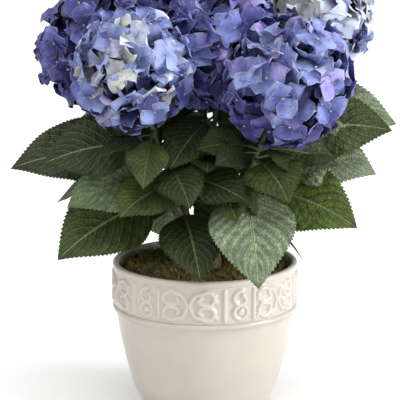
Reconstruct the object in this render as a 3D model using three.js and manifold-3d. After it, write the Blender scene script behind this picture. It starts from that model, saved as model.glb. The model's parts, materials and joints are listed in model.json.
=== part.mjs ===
// Potted hydrangea: a mophead shrub of eight canes in a round glazed pot with a raised band.
// Millimetres, +Z up, front along -Y. The origin is the centre of the pot's flat underside.
import * as THREE from "three";
import { LoftGeometry } from "three/addons/geometries/LoftGeometry.js";
import { mergeVertices } from "three/addons/utils/BufferGeometryUtils.js";
import loadManifold from "manifold-3d";

const manifold = await loadManifold();
manifold.setup();

// Clear gap between pieces that rest on each other.
const seatGap = 0.3;

// Pot: an eight inch cachepot whose wall rises from a flat foot to a band under the rim.
const pot = {
  height: 160,
  rimRadius: 100,
  footRadius: 60,
  heelRadius: 80,
  heelHeight: 30,
  bandRadius: 96,
  bandHeight: 103,
  wallBulge: 2.9,
  beadHeight: 110.5,
  beadRadius: 3,
  lipHeight: 153,
  lipDepth: 1.2,
  wall: 6.5,
  floor: 8,
  segments: 36,
};

// Filling: potting soil with a flat top, and a low cushion of moss round the plant's foot.
const soilTop = 145;
const moss = { innerRadius: 24, height: 8, lumps: 2.6, segments: 30 };

// Woody crown that the canes rise from.
const crown = { flareRadius: 20, neckRadius: 16.5, height: 22, sides: 12 };

// Canes: woody below, green and leafy above, with the flower's own stalk last.
const cane = {
  footRing: 11.4,
  rise: 46,
  footLean: 0.2,
  headLean: 0.0042,
  headReach: 92,
  leafyFrom: 0.27,
  stalkFrom: 0.74,
  sunkTo: 0.95,
  footWidth: 3.9,
  leafyWidth: 3.1,
  stalkWidth: 2.6,
  topWidth: 2.2,
  sides: 6,
};

// Leaves: ovate blades on short stalks, longer than wide and thickest along the midrib.
const leafShape = {
  petiole: 20,
  petioleWidth: 2.2,
  widest: 0.8,
  fullness: 0.92,
  point: 0.22,
  widthRatio: 0.36,
  thickness: 1.7,
  fold: 0.16,
  bend: 34,
  faceRise: 0.75,
  rollLimit: 58,
  innerSize: 0.86,
  innerSlope: -14,
  stations: [0.1, 0.27, 0.47, 0.68, 0.88],
};

// Steps in degrees by which a leaf swings, lifts or drops to find room among its neighbours.
const liftSteps = [0, 6, -6, 12, -12, 20, -20];
const swingSteps = { outer: [0, 8, -8], inner: [0, 25, -25, 50, -50, 75, -75, 100, -100] };
const leafClearance = 1.4;
const headClearance = 3.5;

// Flower heads: four-lobed florets on a ball, standing out of a smaller core.
const floret = {
  count: 18,
  radius: 23.5,
  notch: 0.56,
  shoulder: 0.93,
  shoulderTurn: 22,
  cup: 5,
  neckRadius: 4,
  neckDepth: 2.6,
  lowestTurn: 138,
};
const headCore = 0.6;
const headGap = 1.2;

// A pair of opposite leaves: its share of the way along the cane, the azimuth of its outer leaf
// in degrees, that leaf's length, the slope of its chord and the azimuth that its face turns to.
const pair = (share, azimuth, length, slope, face) => ({ share, azimuth, length, slope, face });

// One entry for each cane: the head it carries and its leaf pairs from below.
const canes = [
  {
    name: "front_left",
    foot: 232,
    head: [-75, -72, 378],
    headRadius: 62,
    colour: 0x9fb3e6,
    pairs: [
      pair(0.34, -78, 118, -30, -90),
      pair(0.45, 238, 104, -8, -90),
      pair(0.5, 204, 120, -11, -95),
      pair(0.58, -72, 96, -20, -90),
      pair(0.66, 184, 126, -9, -100),
      pair(0.73, -98, 84, -30, -90),
    ],
  },
  {
    name: "left",
    foot: 186,
    head: [-112, 24, 386],
    headRadius: 68,
    colour: 0x5a63c4,
    pairs: [
      pair(0.34, 212, 148, -21, -95),
      pair(0.5, 160, 128, -24, 180),
      pair(0.54, 188, 152, 2, -135),
      pair(0.68, 20, 92, 20, -90),
    ],
  },
  {
    name: "middle",
    foot: 0,
    head: [16, -6, 390],
    headRadius: 67,
    colour: 0x6f86d8,
    pairs: [
      pair(0.46, 284, 112, -14, -90),
      pair(0.56, 266, 96, -6, -90),
      pair(0.66, 0, 88, -14, -90),
      pair(0.73, 240, 104, -30, -90),
    ],
  },
  {
    name: "front_right",
    foot: 320,
    head: [84, -60, 364],
    headRadius: 67,
    colour: 0x7f8ce0,
    pairs: [
      pair(0.5, -84, 148, -36, -90),
      pair(0.63, -72, 108, -14, -90),
      pair(0.68, 14, 92, -14, -90),
    ],
  },
  {
    name: "right",
    foot: 5,
    head: [124, 44, 415],
    headRadius: 57,
    colour: 0x8193e0,
    pairs: [
      pair(0.34, -30, 140, -12, -90),
      pair(0.48, -12, 130, -8, -95),
      pair(0.54, -4, 138, 4, -100),
      pair(0.62, 2, 134, 2, -95),
      pair(0.68, 220, 104, -40, -90),
    ],
  },
  {
    name: "inner",
    foot: 92,
    head: [0, 98, 452],
    headRadius: 62,
    colour: 0x5560b8,
    pairs: [
      pair(0.36, 84, 120, -20, 80),
      pair(0.56, -20, 88, 20, -90),
      pair(0.62, 180, 88, -10, -90),
      pair(0.68, 320, 112, -40, -90),
    ],
  },
  {
    name: "back",
    foot: 48,
    head: [58, 126, 372],
    headRadius: 62,
    colour: 0x6572c8,
    pairs: [
      pair(0.34, 60, 136, -34, 70),
      pair(0.52, 112, 128, -22, 90),
      pair(0.56, 180, 88, 10, -90),
      pair(0.68, 40, 118, -10, 60),
    ],
  },
  {
    name: "back_left",
    foot: 140,
    head: [-76, 104, 410],
    headRadius: 66,
    colour: 0x5f62c0,
    pairs: [
      pair(0.33, 128, 138, -34, 125),
      pair(0.42, 196, 128, -18, -110),
      pair(0.48, 92, 126, -22, 100),
      pair(0.62, 150, 120, -12, 140),
      pair(0.68, 240, 72, -40, -90),
    ],
  },
];

const colours = {
  glaze: 0xd9d1c4,
  soil: 0x3a2a20,
  moss: 0x5d6136,
  wood: 0x6b5438,
  leaf: 0x34502a,
};

const up = new THREE.Vector3(0, 0, 1);
const radians = THREE.MathUtils.degToRad;
const degrees = THREE.MathUtils.radToDeg;

/** A repeatable number between low and high for each seed. */
function scatter(seed, low, high) {
  const wave = Math.sin(seed * 12.9898) * 43758.5453;
  return low + (high - low) * (wave - Math.floor(wave));
}

/** The unit vector of an azimuth in degrees, in the level plane. */
function heading(azimuth) {
  return new THREE.Vector3(Math.cos(radians(azimuth)), Math.sin(radians(azimuth)), 0);
}

/** A geometry's shell as a manifold-3d solid. */
function solidOf(geometry) {
  const bare = new THREE.BufferGeometry();
  bare.setAttribute("position", geometry.attributes.position);
  bare.setIndex(geometry.index);
  const welded = mergeVertices(bare, 1e-4);
  return new manifold.Manifold(
    new manifold.Mesh({
      numProp: 3,
      vertProperties: new Float32Array(welded.attributes.position.array),
      triVerts: new Uint32Array(welded.index.array),
    }),
  );
}

/** The outer shell of the largest body of a solid, as a three.js geometry. */
function geometryOf(solid) {
  const outer = solid.decompose().reduce((a, b) => (a.volume() >= b.volume() ? a : b));
  const mesh = outer.getMesh();
  const geometry = new THREE.BufferGeometry();
  geometry.setAttribute("position", new THREE.BufferAttribute(mesh.vertProperties, 3));
  geometry.setIndex(new THREE.BufferAttribute(mesh.triVerts, 1));
  return geometry.toNonIndexed();
}

/** A named mesh with a material of its own. */
function piece(name, geometry, color, roughness) {
  geometry.computeVertexNormals();
  const material = new THREE.MeshStandardMaterial({ color, roughness, metalness: 0 });
  const mesh = new THREE.Mesh(geometry, material);
  mesh.name = name;
  return mesh;
}

/** Turns lathe points (radius, height) about Z. */
function turned(points, segments) {
  return new THREE.LatheGeometry(points, segments).rotateX(Math.PI / 2);
}

// ---------------------------------------------------------------- pot and filling

/** The curved part of the wall from foot to band, set inwards by the wall's thickness. */
function wallCurve(inset) {
  const curve = new THREE.Path();
  const middleRadius = (pot.heelRadius + pot.bandRadius) / 2 + pot.wallBulge;
  curve.moveTo(pot.footRadius - inset, inset ? pot.floor : 0);
  curve.quadraticCurveTo(
    pot.heelRadius - 4.5 - inset, 10 + inset / 2,
    pot.heelRadius - inset, pot.heelHeight,
  );
  curve.quadraticCurveTo(
    middleRadius - inset, (pot.heelHeight + pot.bandHeight) / 2,
    pot.bandRadius - inset, pot.bandHeight,
  );
  return curve.getPoints(3);
}

/** The inside of the pot from the floor's centre to just under the rim, set in by a gap. */
function cavityPoints(gap) {
  const points = wallCurve(pot.wall + gap);
  points[0].y = pot.floor + gap;
  return [new THREE.Vector2(0, pot.floor + gap), ...points];
}

/** The band above the wall: a kink, a bead, a plain field and a rounded lip. */
function bandPoints() {
  const fieldRadius = pot.rimRadius - pot.lipDepth;
  const bead = new THREE.Path();
  bead.absarc(fieldRadius - 1.6, pot.beadHeight, pot.beadRadius, radians(-75), radians(75));
  const lip = new THREE.Path();
  lip.moveTo(pot.rimRadius, pot.height - 3);
  lip.quadraticCurveTo(pot.rimRadius, pot.height, pot.rimRadius - pot.wall / 2, pot.height);
  lip.quadraticCurveTo(
    pot.rimRadius - pot.wall, pot.height,
    pot.rimRadius - pot.wall, pot.height - 3,
  );
  return [
    ...bead.getPoints(3),
    new THREE.Vector2(fieldRadius, pot.beadHeight + 5),
    new THREE.Vector2(fieldRadius, pot.lipHeight),
    new THREE.Vector2(pot.rimRadius, pot.lipHeight + 1.5),
    ...lip.getPoints(2),
  ];
}

function glazedPot() {
  const points = [
    new THREE.Vector2(0, 0),
    ...wallCurve(0),
    ...bandPoints(),
    ...cavityPoints(0).reverse(),
  ];
  return piece("glazed_pot", turned(points, pot.segments), colours.glaze, 0.3);
}

/** The radius inside the pot at soil level, less a gap. */
function soilRadius(gap) {
  const share = (soilTop - pot.bandHeight) / (pot.height - 3 - pot.bandHeight);
  const inner = THREE.MathUtils.lerp(pot.bandRadius, pot.rimRadius, share) - pot.wall;
  return inner - gap;
}

function pottingSoil() {
  const points = [
    ...cavityPoints(seatGap),
    new THREE.Vector2(soilRadius(seatGap), soilTop),
    new THREE.Vector2(0, soilTop),
  ];
  return piece("potting_soil", turned(points, pot.segments), colours.soil, 0.95);
}

/** Height of the moss above the soil at a place: level in the middle, lumpy further out. */
function mossHeight(x, y) {
  const lumps = Math.sin(x / 9 + 1.3) * Math.sin(y / 8) + 0.6 * Math.sin(x / 5 - y / 6);
  return moss.height + moss.lumps * lumps;
}

function mossCushion() {
  const outer = soilRadius(seatGap + 0.4);
  const low = soilTop + seatGap;
  const rings = [moss.innerRadius + 3, 42, 60, 76, outer - 2];
  const points = [
    new THREE.Vector2(moss.innerRadius, low),
    new THREE.Vector2(outer, low),
    new THREE.Vector2(outer, low + 3),
    ...rings.reverse().map((radius) => new THREE.Vector2(radius, low + moss.height)),
    new THREE.Vector2(moss.innerRadius, low + 3),
    new THREE.Vector2(moss.innerRadius, low),
  ];
  const geometry = turned(points, moss.segments);
  const place = geometry.attributes.position;
  for (let i = 0; i < place.count; i += 1) {
    if (place.getZ(i) > low + 4) {
      place.setZ(i, low + mossHeight(place.getX(i), place.getY(i)));
    }
  }
  return piece("moss_cushion", geometry, colours.moss, 1);
}

// ---------------------------------------------------------------- crown and canes

function stemCrown() {
  const low = soilTop + seatGap;
  const rings = [
    [crown.flareRadius, 0],
    [crown.neckRadius + 1, 0.3],
    [crown.neckRadius, 0.7],
    [crown.neckRadius, 1],
  ];
  const sections = rings.map(([radius, share]) =>
    Array.from({ length: crown.sides }, (_, i) => {
      const turn = (i * 360) / crown.sides;
      const ridge = 1 + (1 - share) * 0.1 * Math.cos(radians(turn * 3 + 40));
      const point = heading(turn).multiplyScalar(radius * ridge);
      return point.setZ(low + share * crown.height);
    }),
  );
  const geometry = new LoftGeometry(sections, { capStart: true, capEnd: true });
  return piece("stem_crown", geometry, colours.wood, 0.9);
}

/** The line of a cane, from its foot on the crown to the centre of its flower head. */
function caneCurve({ name, head, foot: azimuth }) {
  const centre = new THREE.Vector3(...head);
  const spread = new THREE.Vector3(head[0], head[1], 0);
  const foot = heading(azimuth).multiplyScalar(name === "middle" ? 0 : cane.footRing);
  foot.z = soilTop + crown.height + 2 * seatGap;
  const lean = spread.clone().multiplyScalar(cane.headLean).add(up).normalize();
  return new THREE.CubicBezierCurve3(
    foot,
    foot.clone().addScaledVector(spread, cane.footLean).addScaledVector(up, cane.rise),
    centre.clone().addScaledVector(lean, -cane.headReach),
    centre,
  );
}

/** A tapering round limb along part of a curve, its foot cut level when asked. */
function limb(curve, from, to, startRadius, endRadius, levelFoot = false) {
  const rings = Math.max(2, Math.round((to - from) * 14));
  const sections = [];
  for (let i = 0; i <= rings; i += 1) {
    const share = i / rings;
    const along = THREE.MathUtils.lerp(from, to, share);
    const axis = i === 0 && levelFoot ? up : curve.getTangent(along);
    const side = new THREE.Vector3(0, 1, 0).cross(axis).normalize();
    const front = axis.clone().cross(side);
    const radius = THREE.MathUtils.lerp(startRadius, endRadius, share);
    sections.push(
      Array.from({ length: cane.sides }, (_, k) => {
        const turn = (k * 2 * Math.PI) / cane.sides;
        return curve.getPoint(along)
          .addScaledVector(side, radius * Math.cos(turn))
          .addScaledVector(front, radius * Math.sin(turn));
      }),
    );
  }
  return new LoftGeometry(sections, { capStart: true, capEnd: true });
}

/** The three stretches of a cane: woody limb, leafy stem and flower stalk. */
function stretches(plant) {
  const { curve } = plant;
  const gap = seatGap / curve.getLength();
  return {
    wood: limb(curve, 0, cane.leafyFrom, cane.footWidth, cane.leafyWidth, true),
    stem: limb(curve, cane.leafyFrom + gap, cane.stalkFrom, cane.leafyWidth, cane.stalkWidth),
    stalk: limb(curve, cane.stalkFrom + gap, cane.sunkTo, cane.stalkWidth, cane.topWidth),
  };
}

// ---------------------------------------------------------------- leaves

/** Half the blade's width at a share of its length: rounded below, drawn to a point. */
function bladeHalfWidth(share, length) {
  const round = Math.sin(Math.PI * share ** leafShape.widest) ** leafShape.fullness;
  return length * leafShape.widthRatio * round * (1 - leafShape.point * share ** 3);
}

/** Centre, side and normal of a leaf at a distance from its node. */
function leafFrame(leaf, along) {
  const turn = radians(leafShape.bend) / leaf.reach;
  const start = radians(leaf.slope + leafShape.bend / 2);
  const now = start - turn * along;
  const out = heading(leaf.azimuth);
  const centre = leaf.node.clone()
    .addScaledVector(out, (Math.sin(start) - Math.sin(now)) / turn)
    .addScaledVector(up, (Math.cos(now) - Math.cos(start)) / turn);
  const tangent = out.clone().multiplyScalar(Math.cos(now)).addScaledVector(up, Math.sin(now));
  const level = up.clone().cross(out);
  const lift = tangent.clone().cross(level);
  const roll = leaf.roll ?? 0;
  const side = level.clone().multiplyScalar(Math.cos(roll)).addScaledVector(lift, Math.sin(roll));
  const normal = lift.multiplyScalar(Math.cos(roll)).addScaledVector(level, -Math.sin(roll));
  return { centre, side, normal };
}

/** The roll that turns a leaf's upper face to its azimuth, or outwards, and to the sky. */
function facingRoll(leaf) {
  const { centre, side, normal } = leafFrame(leaf, leaf.reach * 0.6);
  const outwards = degrees(Math.atan2(centre.y, centre.x));
  const face = heading(leaf.face ?? outwards).addScaledVector(up, leafShape.faceRise);
  const limit = radians(leafShape.rollLimit);
  const roll = Math.atan2(-face.dot(side), face.dot(normal));
  return THREE.MathUtils.clamp(roll, -limit, limit);
}

/** A leaf as a loft of thin diamonds, thickened by an extra amount all round. */
function leafGeometry(leaf, extra = 0) {
  const stations = [
    [0, leafShape.petioleWidth, leafShape.petioleWidth * 0.8],
    [leafShape.petiole * 0.9, leafShape.petioleWidth, leafShape.petioleWidth * 0.7],
    ...leafShape.stations.map((share) => [
      leafShape.petiole + share * leaf.length,
      bladeHalfWidth(share, leaf.length),
      leafShape.thickness * 0.5,
    ]),
    [leaf.reach, 0.7, 0.5],
  ];
  const sections = stations.map(([along, halfWidth, halfThickness]) => {
    const { centre, side, normal } = leafFrame(leaf, along);
    const rise = halfWidth > 4 ? halfWidth * leafShape.fold : 0;
    const at = (across, height) =>
      centre.clone().addScaledVector(side, across).addScaledVector(normal, height);
    return [
      at(halfWidth + extra, rise),
      at(0, halfThickness + extra),
      at(-halfWidth - extra, rise),
      at(0, -halfThickness - extra),
    ];
  });
  return new LoftGeometry(sections, { capStart: true, capEnd: true });
}

/** True where a leaf keeps out of the pot and of every flower head. */
function leafInTheOpen(leaf) {
  const place = leafGeometry(leaf).attributes.position;
  const point = new THREE.Vector3();
  for (let i = 0; i < place.count; i += 1) {
    point.fromBufferAttribute(place, i);
    const overPot = Math.hypot(point.x, point.y) < pot.rimRadius + 4;
    if (overPot && point.z < pot.height + 4) {
      return false;
    }
    if (canes.some((c) => point.distanceTo(c.centre) < c.headRadius + headClearance)) {
      return false;
    }
  }
  return true;
}

/** True where a leaf touches nothing of another stem. */
function leafClearOf(leaf, taken) {
  const fat = solidOf(leafGeometry(leaf, leafClearance));
  return taken.every(({ owner, solid }) => owner === leaf.owner || fat.intersect(solid).isEmpty());
}

/** Gives a leaf the first place at which it has room, or nothing where there is none. */
function settledLeaf(leaf, taken) {
  for (const swing of leaf.inner ? swingSteps.inner : swingSteps.outer) {
    for (const lift of liftSteps) {
      const tried = { ...leaf, azimuth: leaf.azimuth + swing, slope: leaf.slope + lift };
      tried.roll = facingRoll(tried);
      if (leafInTheOpen(tried) && leafClearOf(tried, taken)) {
        return tried;
      }
    }
  }
  return null;
}

/** Every leaf of the plant: outer leaves settle first, then the inner leaf of each pair. */
function settledLeaves(taken) {
  const leaves = [];
  for (const inner of [false, true]) {
    canes.forEach((plant, owner) => {
      plant.pairs.forEach(({ share, azimuth, length, slope, face }, i) => {
        const size = inner ? length * leafShape.innerSize : length;
        const leaf = settledLeaf(
          {
            owner,
            inner,
            face: inner ? null : face,
            node: plant.curve.getPoint(share),
            azimuth: inner ? azimuth + 180 + scatter(owner * 10 + i, -12, 12) : azimuth,
            slope: inner ? leafShape.innerSlope : slope,
            length: size - leafShape.petiole,
            reach: size,
          },
          taken,
        );
        if (leaf) {
          leaves.push(leaf);
          taken.push({ owner, solid: solidOf(leafGeometry(leaf)) });
        }
      });
    });
  }
  return leaves;
}

// ---------------------------------------------------------------- flower heads

/** Planes that part a head from its neighbours, as unit normals and distances. */
function partings(plant) {
  return canes.filter((other) => other !== plant).map((other) => {
    const normal = other.centre.clone().sub(plant.centre);
    const distance = normal.length();
    const share = (distance ** 2 + plant.headRadius ** 2 - other.headRadius ** 2) / (2 * distance);
    return { normal: normal.normalize(), distance: share - headGap };
  });
}

/** Moves a point of the full ball to its place in a head pressed by its neighbours. */
function pressed(point, plant) {
  const ray = point.clone().normalize();
  let reach = plant.headRadius;
  for (const { normal, distance } of plant.partings) {
    const facing = ray.dot(normal);
    if (facing > 0) {
      reach = Math.min(reach, distance / facing);
    }
  }
  return point.multiplyScalar(reach / plant.headRadius).add(plant.centre);
}

/** Outline points of a floret round its own axis: two shoulders and a notch a sepal. */
function floretOutline(size, seed) {
  const points = [];
  for (let sepal = 0; sepal < 4; sepal += 1) {
    const middle = sepal * 90 + scatter(seed + sepal, -6, 6);
    const shoulder = size * floret.shoulder;
    points.push([middle - floret.shoulderTurn, shoulder, -floret.cup]);
    points.push([middle + floret.shoulderTurn, shoulder, -floret.cup * 0.8]);
    points.push([sepal * 90 + 45, size * floret.notch, -floret.cup * 0.4]);
  }
  return points.map(([turn, radius, height]) => heading(turn).multiplyScalar(radius).setZ(height));
}

/** Corners of a closed floret, from its top centre to the foot of its stalk. */
function floretFaces(size, depth, seed) {
  const rim = floretOutline(size, seed);
  const top = new THREE.Vector3(0, 0, 0);
  const foot = new THREE.Vector3(0, 0, -depth);
  const neck = [0, 1, 2, 3].map((k) =>
    heading(k * 90).multiplyScalar(floret.neckRadius).setZ(-floret.neckDepth));
  const faces = [];
  rim.forEach((point, i) => {
    const next = rim[(i + 1) % rim.length];
    faces.push([top, point, next]);
    faces.push([next, point, neck[Math.floor((i + 1) / 3) % 4]]);
    if (i % 3 === 1) {
      const corner = (i - 1) / 3;
      faces.push([next, neck[corner], neck[(corner + 1) % 4]]);
    }
  });
  neck.forEach((point, k) => faces.push([neck[(k + 1) % 4], point, foot]));
  return faces;
}

/** One floret of a head, set on the ball in the direction given. */
function floretSolid(plant, ray, seed) {
  const size = floret.radius * scatter(seed, 0.92, 1.04);
  const middle = plant.headRadius - 0.4;
  const turn = new THREE.Quaternion().setFromUnitVectors(up, ray);
  const spin = new THREE.Quaternion().setFromAxisAngle(up, radians(scatter(seed + 7, 0, 90)));
  const depth = middle - plant.headRadius * headCore * 0.8;
  const corners = floretFaces(size, depth, seed).flat().map((corner) => {
    const place = corner.clone().applyQuaternion(spin).applyQuaternion(turn);
    place.addScaledVector(ray, middle);
    place.clampLength(0, plant.headRadius);
    return pressed(place, plant);
  });
  return solidOf(new THREE.BufferGeometry().setFromPoints(corners));
}

/** Directions of a head's florets: an even spiral from its crown to its underside. */
function floretRays(plant) {
  const lowest = Math.cos(radians(floret.lowestTurn));
  const axis = plant.curve.getTangent(1);
  const turn = new THREE.Quaternion().setFromUnitVectors(up, axis);
  return Array.from({ length: floret.count }, (_, i) => {
    const height = 1 - ((i + 0.5) * (1 - lowest)) / floret.count;
    const ray = heading(i * 137.508).multiplyScalar(Math.sqrt(1 - height ** 2)).setZ(height);
    return ray.applyQuaternion(turn);
  });
}

function flowerHead(plant, index) {
  const core = new THREE.IcosahedronGeometry(plant.headRadius, 1);
  const corners = core.attributes.position;
  for (let i = 0; i < corners.count; i += 1) {
    const place = new THREE.Vector3().fromBufferAttribute(corners, i);
    const out = pressed(place, plant).sub(plant.centre).multiplyScalar(headCore);
    corners.setXYZ(i, ...out.add(plant.centre).toArray());
  }
  const solids = floretRays(plant).map((ray, i) => floretSolid(plant, ray, index * 100 + i));
  const whole = manifold.Manifold.union([solidOf(core), solidOf(plant.stretches.stalk), ...solids]);
  return piece(`flower_head_${plant.name}`, geometryOf(whole), plant.colour, 0.7);
}

// ---------------------------------------------------------------- assembly

function leafyShoot(plant, leaves) {
  const blades = leaves.map((leaf) => solidOf(leafGeometry(leaf)));
  const whole = manifold.Manifold.union([solidOf(plant.stretches.stem), ...blades]);
  return piece(`leafy_shoot_${plant.name}`, geometryOf(whole), colours.leaf, 0.6);
}

function hydrangea() {
  for (const plant of canes) {
    plant.centre = new THREE.Vector3(...plant.head);
    plant.curve = caneCurve(plant);
    plant.stretches = stretches(plant);
  }
  const taken = [];
  canes.forEach((plant, owner) => {
    plant.partings = partings(plant);
    taken.push({ owner: -1, solid: solidOf(plant.stretches.wood) });
    taken.push({ owner: -1, solid: solidOf(plant.stretches.stalk) });
    taken.push({ owner, solid: solidOf(plant.stretches.stem) });
  });
  const leaves = settledLeaves(taken);
  const group = new THREE.Group();
  group.add(glazedPot(), pottingSoil(), mossCushion(), stemCrown());
  canes.forEach((plant, index) => {
    const own = leaves.filter((leaf) => leaf.owner === index);
    group.add(piece(`cane_${plant.name}`, plant.stretches.wood, colours.wood, 0.85));
    group.add(leafyShoot(plant, own));
    group.add(flowerHead(plant, index));
  });
  return group;
}

export default hydrangea();
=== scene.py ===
"""Looks and stage for a potted mophead hydrangea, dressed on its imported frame.

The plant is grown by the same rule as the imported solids, in millimetres, and then finer: leaves
with teeth and quilting, round stalks, four-sepalled florets, moss fibres and a scrolled pot band.
"""

import json
import math
from dataclasses import dataclass, field, replace
from functools import lru_cache

import bpy
import numpy as np
from bpy.props import FloatProperty, FloatVectorProperty, IntProperty, PointerProperty
from mathutils import Matrix, Vector
from mathutils.bvhtree import BVHTree

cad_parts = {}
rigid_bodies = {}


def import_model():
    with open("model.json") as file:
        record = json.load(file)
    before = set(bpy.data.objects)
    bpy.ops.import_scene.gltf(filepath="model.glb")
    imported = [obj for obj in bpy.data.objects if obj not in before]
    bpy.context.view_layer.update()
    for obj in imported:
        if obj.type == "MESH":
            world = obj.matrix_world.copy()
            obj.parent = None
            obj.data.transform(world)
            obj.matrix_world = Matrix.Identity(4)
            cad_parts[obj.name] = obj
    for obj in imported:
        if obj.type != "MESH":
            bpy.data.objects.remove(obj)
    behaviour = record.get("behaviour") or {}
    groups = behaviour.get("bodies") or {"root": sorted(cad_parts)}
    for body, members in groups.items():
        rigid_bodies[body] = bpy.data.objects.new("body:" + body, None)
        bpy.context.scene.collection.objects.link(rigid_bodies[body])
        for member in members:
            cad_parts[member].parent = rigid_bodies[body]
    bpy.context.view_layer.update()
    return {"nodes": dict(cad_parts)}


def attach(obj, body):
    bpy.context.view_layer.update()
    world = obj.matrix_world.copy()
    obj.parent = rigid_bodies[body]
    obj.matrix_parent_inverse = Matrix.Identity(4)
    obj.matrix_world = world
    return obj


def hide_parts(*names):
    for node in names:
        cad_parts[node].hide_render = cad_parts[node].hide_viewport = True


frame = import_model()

bl_info = {
    "name": "Potted Hydrangea",
    "version": (1, 0, 0),
    "blender": (4, 5, 0),
    "location": "View3D > Sidebar > Hydrangea",
    "description": "Dresses the packed frame of a potted mophead hydrangea",
    "category": "Object",
}

METRES = 0.001
UP = np.array([0.0, 0.0, 1.0])

# ------------------------------------------------------------------ the source's values, in mm

SEAT_GAP = 0.3
SOIL_TOP = 145
POT = {
    "height": 160, "rim_radius": 100, "foot_radius": 60, "heel_radius": 80, "heel_height": 30,
    "band_radius": 96, "band_height": 103, "wall_bulge": 2.9, "bead_height": 110.5,
    "bead_radius": 3, "lip_height": 153, "lip_depth": 1.2, "wall": 6.5, "floor": 8,
}
MOSS = {"inner_radius": 24, "height": 8, "lumps": 2.6}
CROWN = {"flare_radius": 20, "neck_radius": 16.5, "height": 22}
CANE = {
    "foot_ring": 11.4, "rise": 46, "foot_lean": 0.2, "head_lean": 0.0042, "head_reach": 92,
    "leafy_from": 0.27, "stalk_from": 0.74, "sunk_to": 0.95, "foot_width": 3.9,
    "leafy_width": 3.1, "stalk_width": 2.6, "top_width": 2.2, "sides": 6,
}
LEAF = {
    "petiole": 20, "petiole_width": 2.2, "widest": 0.8, "fullness": 0.92, "point": 0.22,
    "width_ratio": 0.36, "thickness": 1.7, "fold": 0.16, "bend": 34, "face_rise": 0.75,
    "roll_limit": 58, "inner_size": 0.86, "inner_slope": -14,
    "stations": [0.1, 0.27, 0.47, 0.68, 0.88],
}
LIFT_STEPS = [0, 6, -6, 12, -12, 20, -20]
OUTER_SWINGS = [0, 8, -8]
INNER_SWINGS = [0, 25, -25, 50, -50, 75, -75, 100, -100]
LEAF_CLEARANCE = 1.4
HEAD_CLEARANCE = 3.5
HEAD_GAP = 1.2


@dataclass
class Pair:
    """Two opposite leaves: share of the cane, outer azimuth, length, slope, face and colours; the
    greens for shaded, half-lit and fully lit leaves are painted shade and painted light.
    """

    share: float
    azimuth: float
    length: float
    slope: float
    face: float
    tint: str = "mid"
    inner_tint: str = "deep"


@dataclass
class Cane:
    """One cane with the head it carries, its leaf pairs, and its florets' tones and spin."""

    name: str
    foot: float
    head: tuple
    radius: float
    slot: str
    pairs: list
    face_tones: dict
    edge_tones: dict
    spin: float = 0.0
    leaves: list = field(default_factory=list)


# Small leaves between the pairs: share of the cane and turn from its foot's azimuth in degrees.
SMALL_LEAVES = [(0.36, 90), (0.44, 200), (0.52, 330), (0.6, 100), (0.66, 220), (0.71, 340)]
SMALL_LENGTH = 74

SHADED_TONES = {"violet": 4, "deep": 3, "periwinkle": 2, "lilac": 0.5}
CANES = [
    Cane("front_left", 232, (-75, -72, 378), 62, "petals_pale", [
        Pair(0.34, -78, 118, -30, -90, "deep"),
        Pair(0.45, 238, 104, -8, -90, "mid"),
        Pair(0.5, 204, 120, -11, -95, "dull"),
        Pair(0.58, -72, 96, -20, -90, "deep"),
        Pair(0.66, 184, 126, -9, -100, "deep"),
        Pair(0.73, -98, 84, -30, -90, "mid"),
    ], {"sky": 5, "cream": 1.8, "white": 2.2, "periwinkle": 1},
        {"sky": 5, "periwinkle": 1.6, "white": 1.4}, 56),
    Cane("left", 186, (-112, 24, 386), 68, "petals_violet", [
        Pair(0.34, 212, 148, -21, -95, "mid"),
        Pair(0.5, 160, 128, -24, 180, "mid"),
        Pair(0.54, 188, 152, 2, -135, "deep"),
        Pair(0.68, 20, 92, 20, -90, "deep"),
    ], {"violet": 5, "deep": 6, "periwinkle": 0.8},
        {"deep": 6, "violet": 2}, 70),
    Cane("middle", 0, (16, -6, 390), 67, "petals_periwinkle", [
        Pair(0.46, 284, 112, -14, -90, "mid"),
        Pair(0.56, 266, 96, -6, -90, "deep"),
        Pair(0.66, 0, 88, -14, -90, "deep"),
        Pair(0.73, 240, 104, -30, -90, "deep"),
    ], {"periwinkle": 3.4, "lilac": 1, "violet": 5, "deep": 1.4},
        {"violet": 4, "periwinkle": 1, "deep": 1}),
    Cane("front_right", 320, (84, -60, 364), 67, "petals_periwinkle", [
        Pair(0.5, -84, 148, -36, -90, "pale"),
        Pair(0.63, -72, 108, -14, -90, "mid"),
        Pair(0.68, 14, 92, -14, -90, "deep"),
    ], {"periwinkle": 5, "lilac": 2.2, "sky": 1.4, "white": 0.5},
        {"periwinkle": 2, "violet": 4, "deep": 1}, 70),
    Cane("right", 5, (124, 44, 415), 57, "petals_periwinkle", [
        Pair(0.34, -30, 140, -12, -90, "young"),
        Pair(0.48, -12, 130, -8, -95, "pale"),
        Pair(0.54, -4, 138, 4, -100, "mid"),
        Pair(0.62, 2, 134, 2, -95, "pale"),
        Pair(0.68, 220, 104, -40, -90, "deep"),
    ], {"sky": 4, "white": 5, "cream": 2, "mint": 1},
        {"sky": 5, "white": 4, "periwinkle": 1}),
    Cane("inner", 92, (0, 98, 452), 62, "petals_violet", [
        Pair(0.36, 84, 120, -20, 80),
        Pair(0.56, -20, 88, 20, -90),
        Pair(0.62, 180, 88, -10, -90),
        Pair(0.68, 320, 112, -40, -90),
    ], SHADED_TONES, SHADED_TONES),
    Cane("back", 48, (58, 126, 372), 62, "petals_violet", [
        Pair(0.34, 60, 136, -34, 70),
        Pair(0.52, 112, 128, -22, 90),
        Pair(0.56, 180, 88, 10, -90),
        Pair(0.68, 40, 118, -10, 60),
    ], SHADED_TONES, SHADED_TONES),
    Cane("back_left", 140, (-76, 104, 410), 66, "petals_violet", [
        Pair(0.33, 128, 138, -34, 125),
        Pair(0.42, 196, 128, -18, -110),
        Pair(0.48, 92, 126, -22, 100),
        Pair(0.62, 150, 120, -12, 140),
        Pair(0.68, 240, 72, -40, -90),
    ], SHADED_TONES, SHADED_TONES),
]


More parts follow.
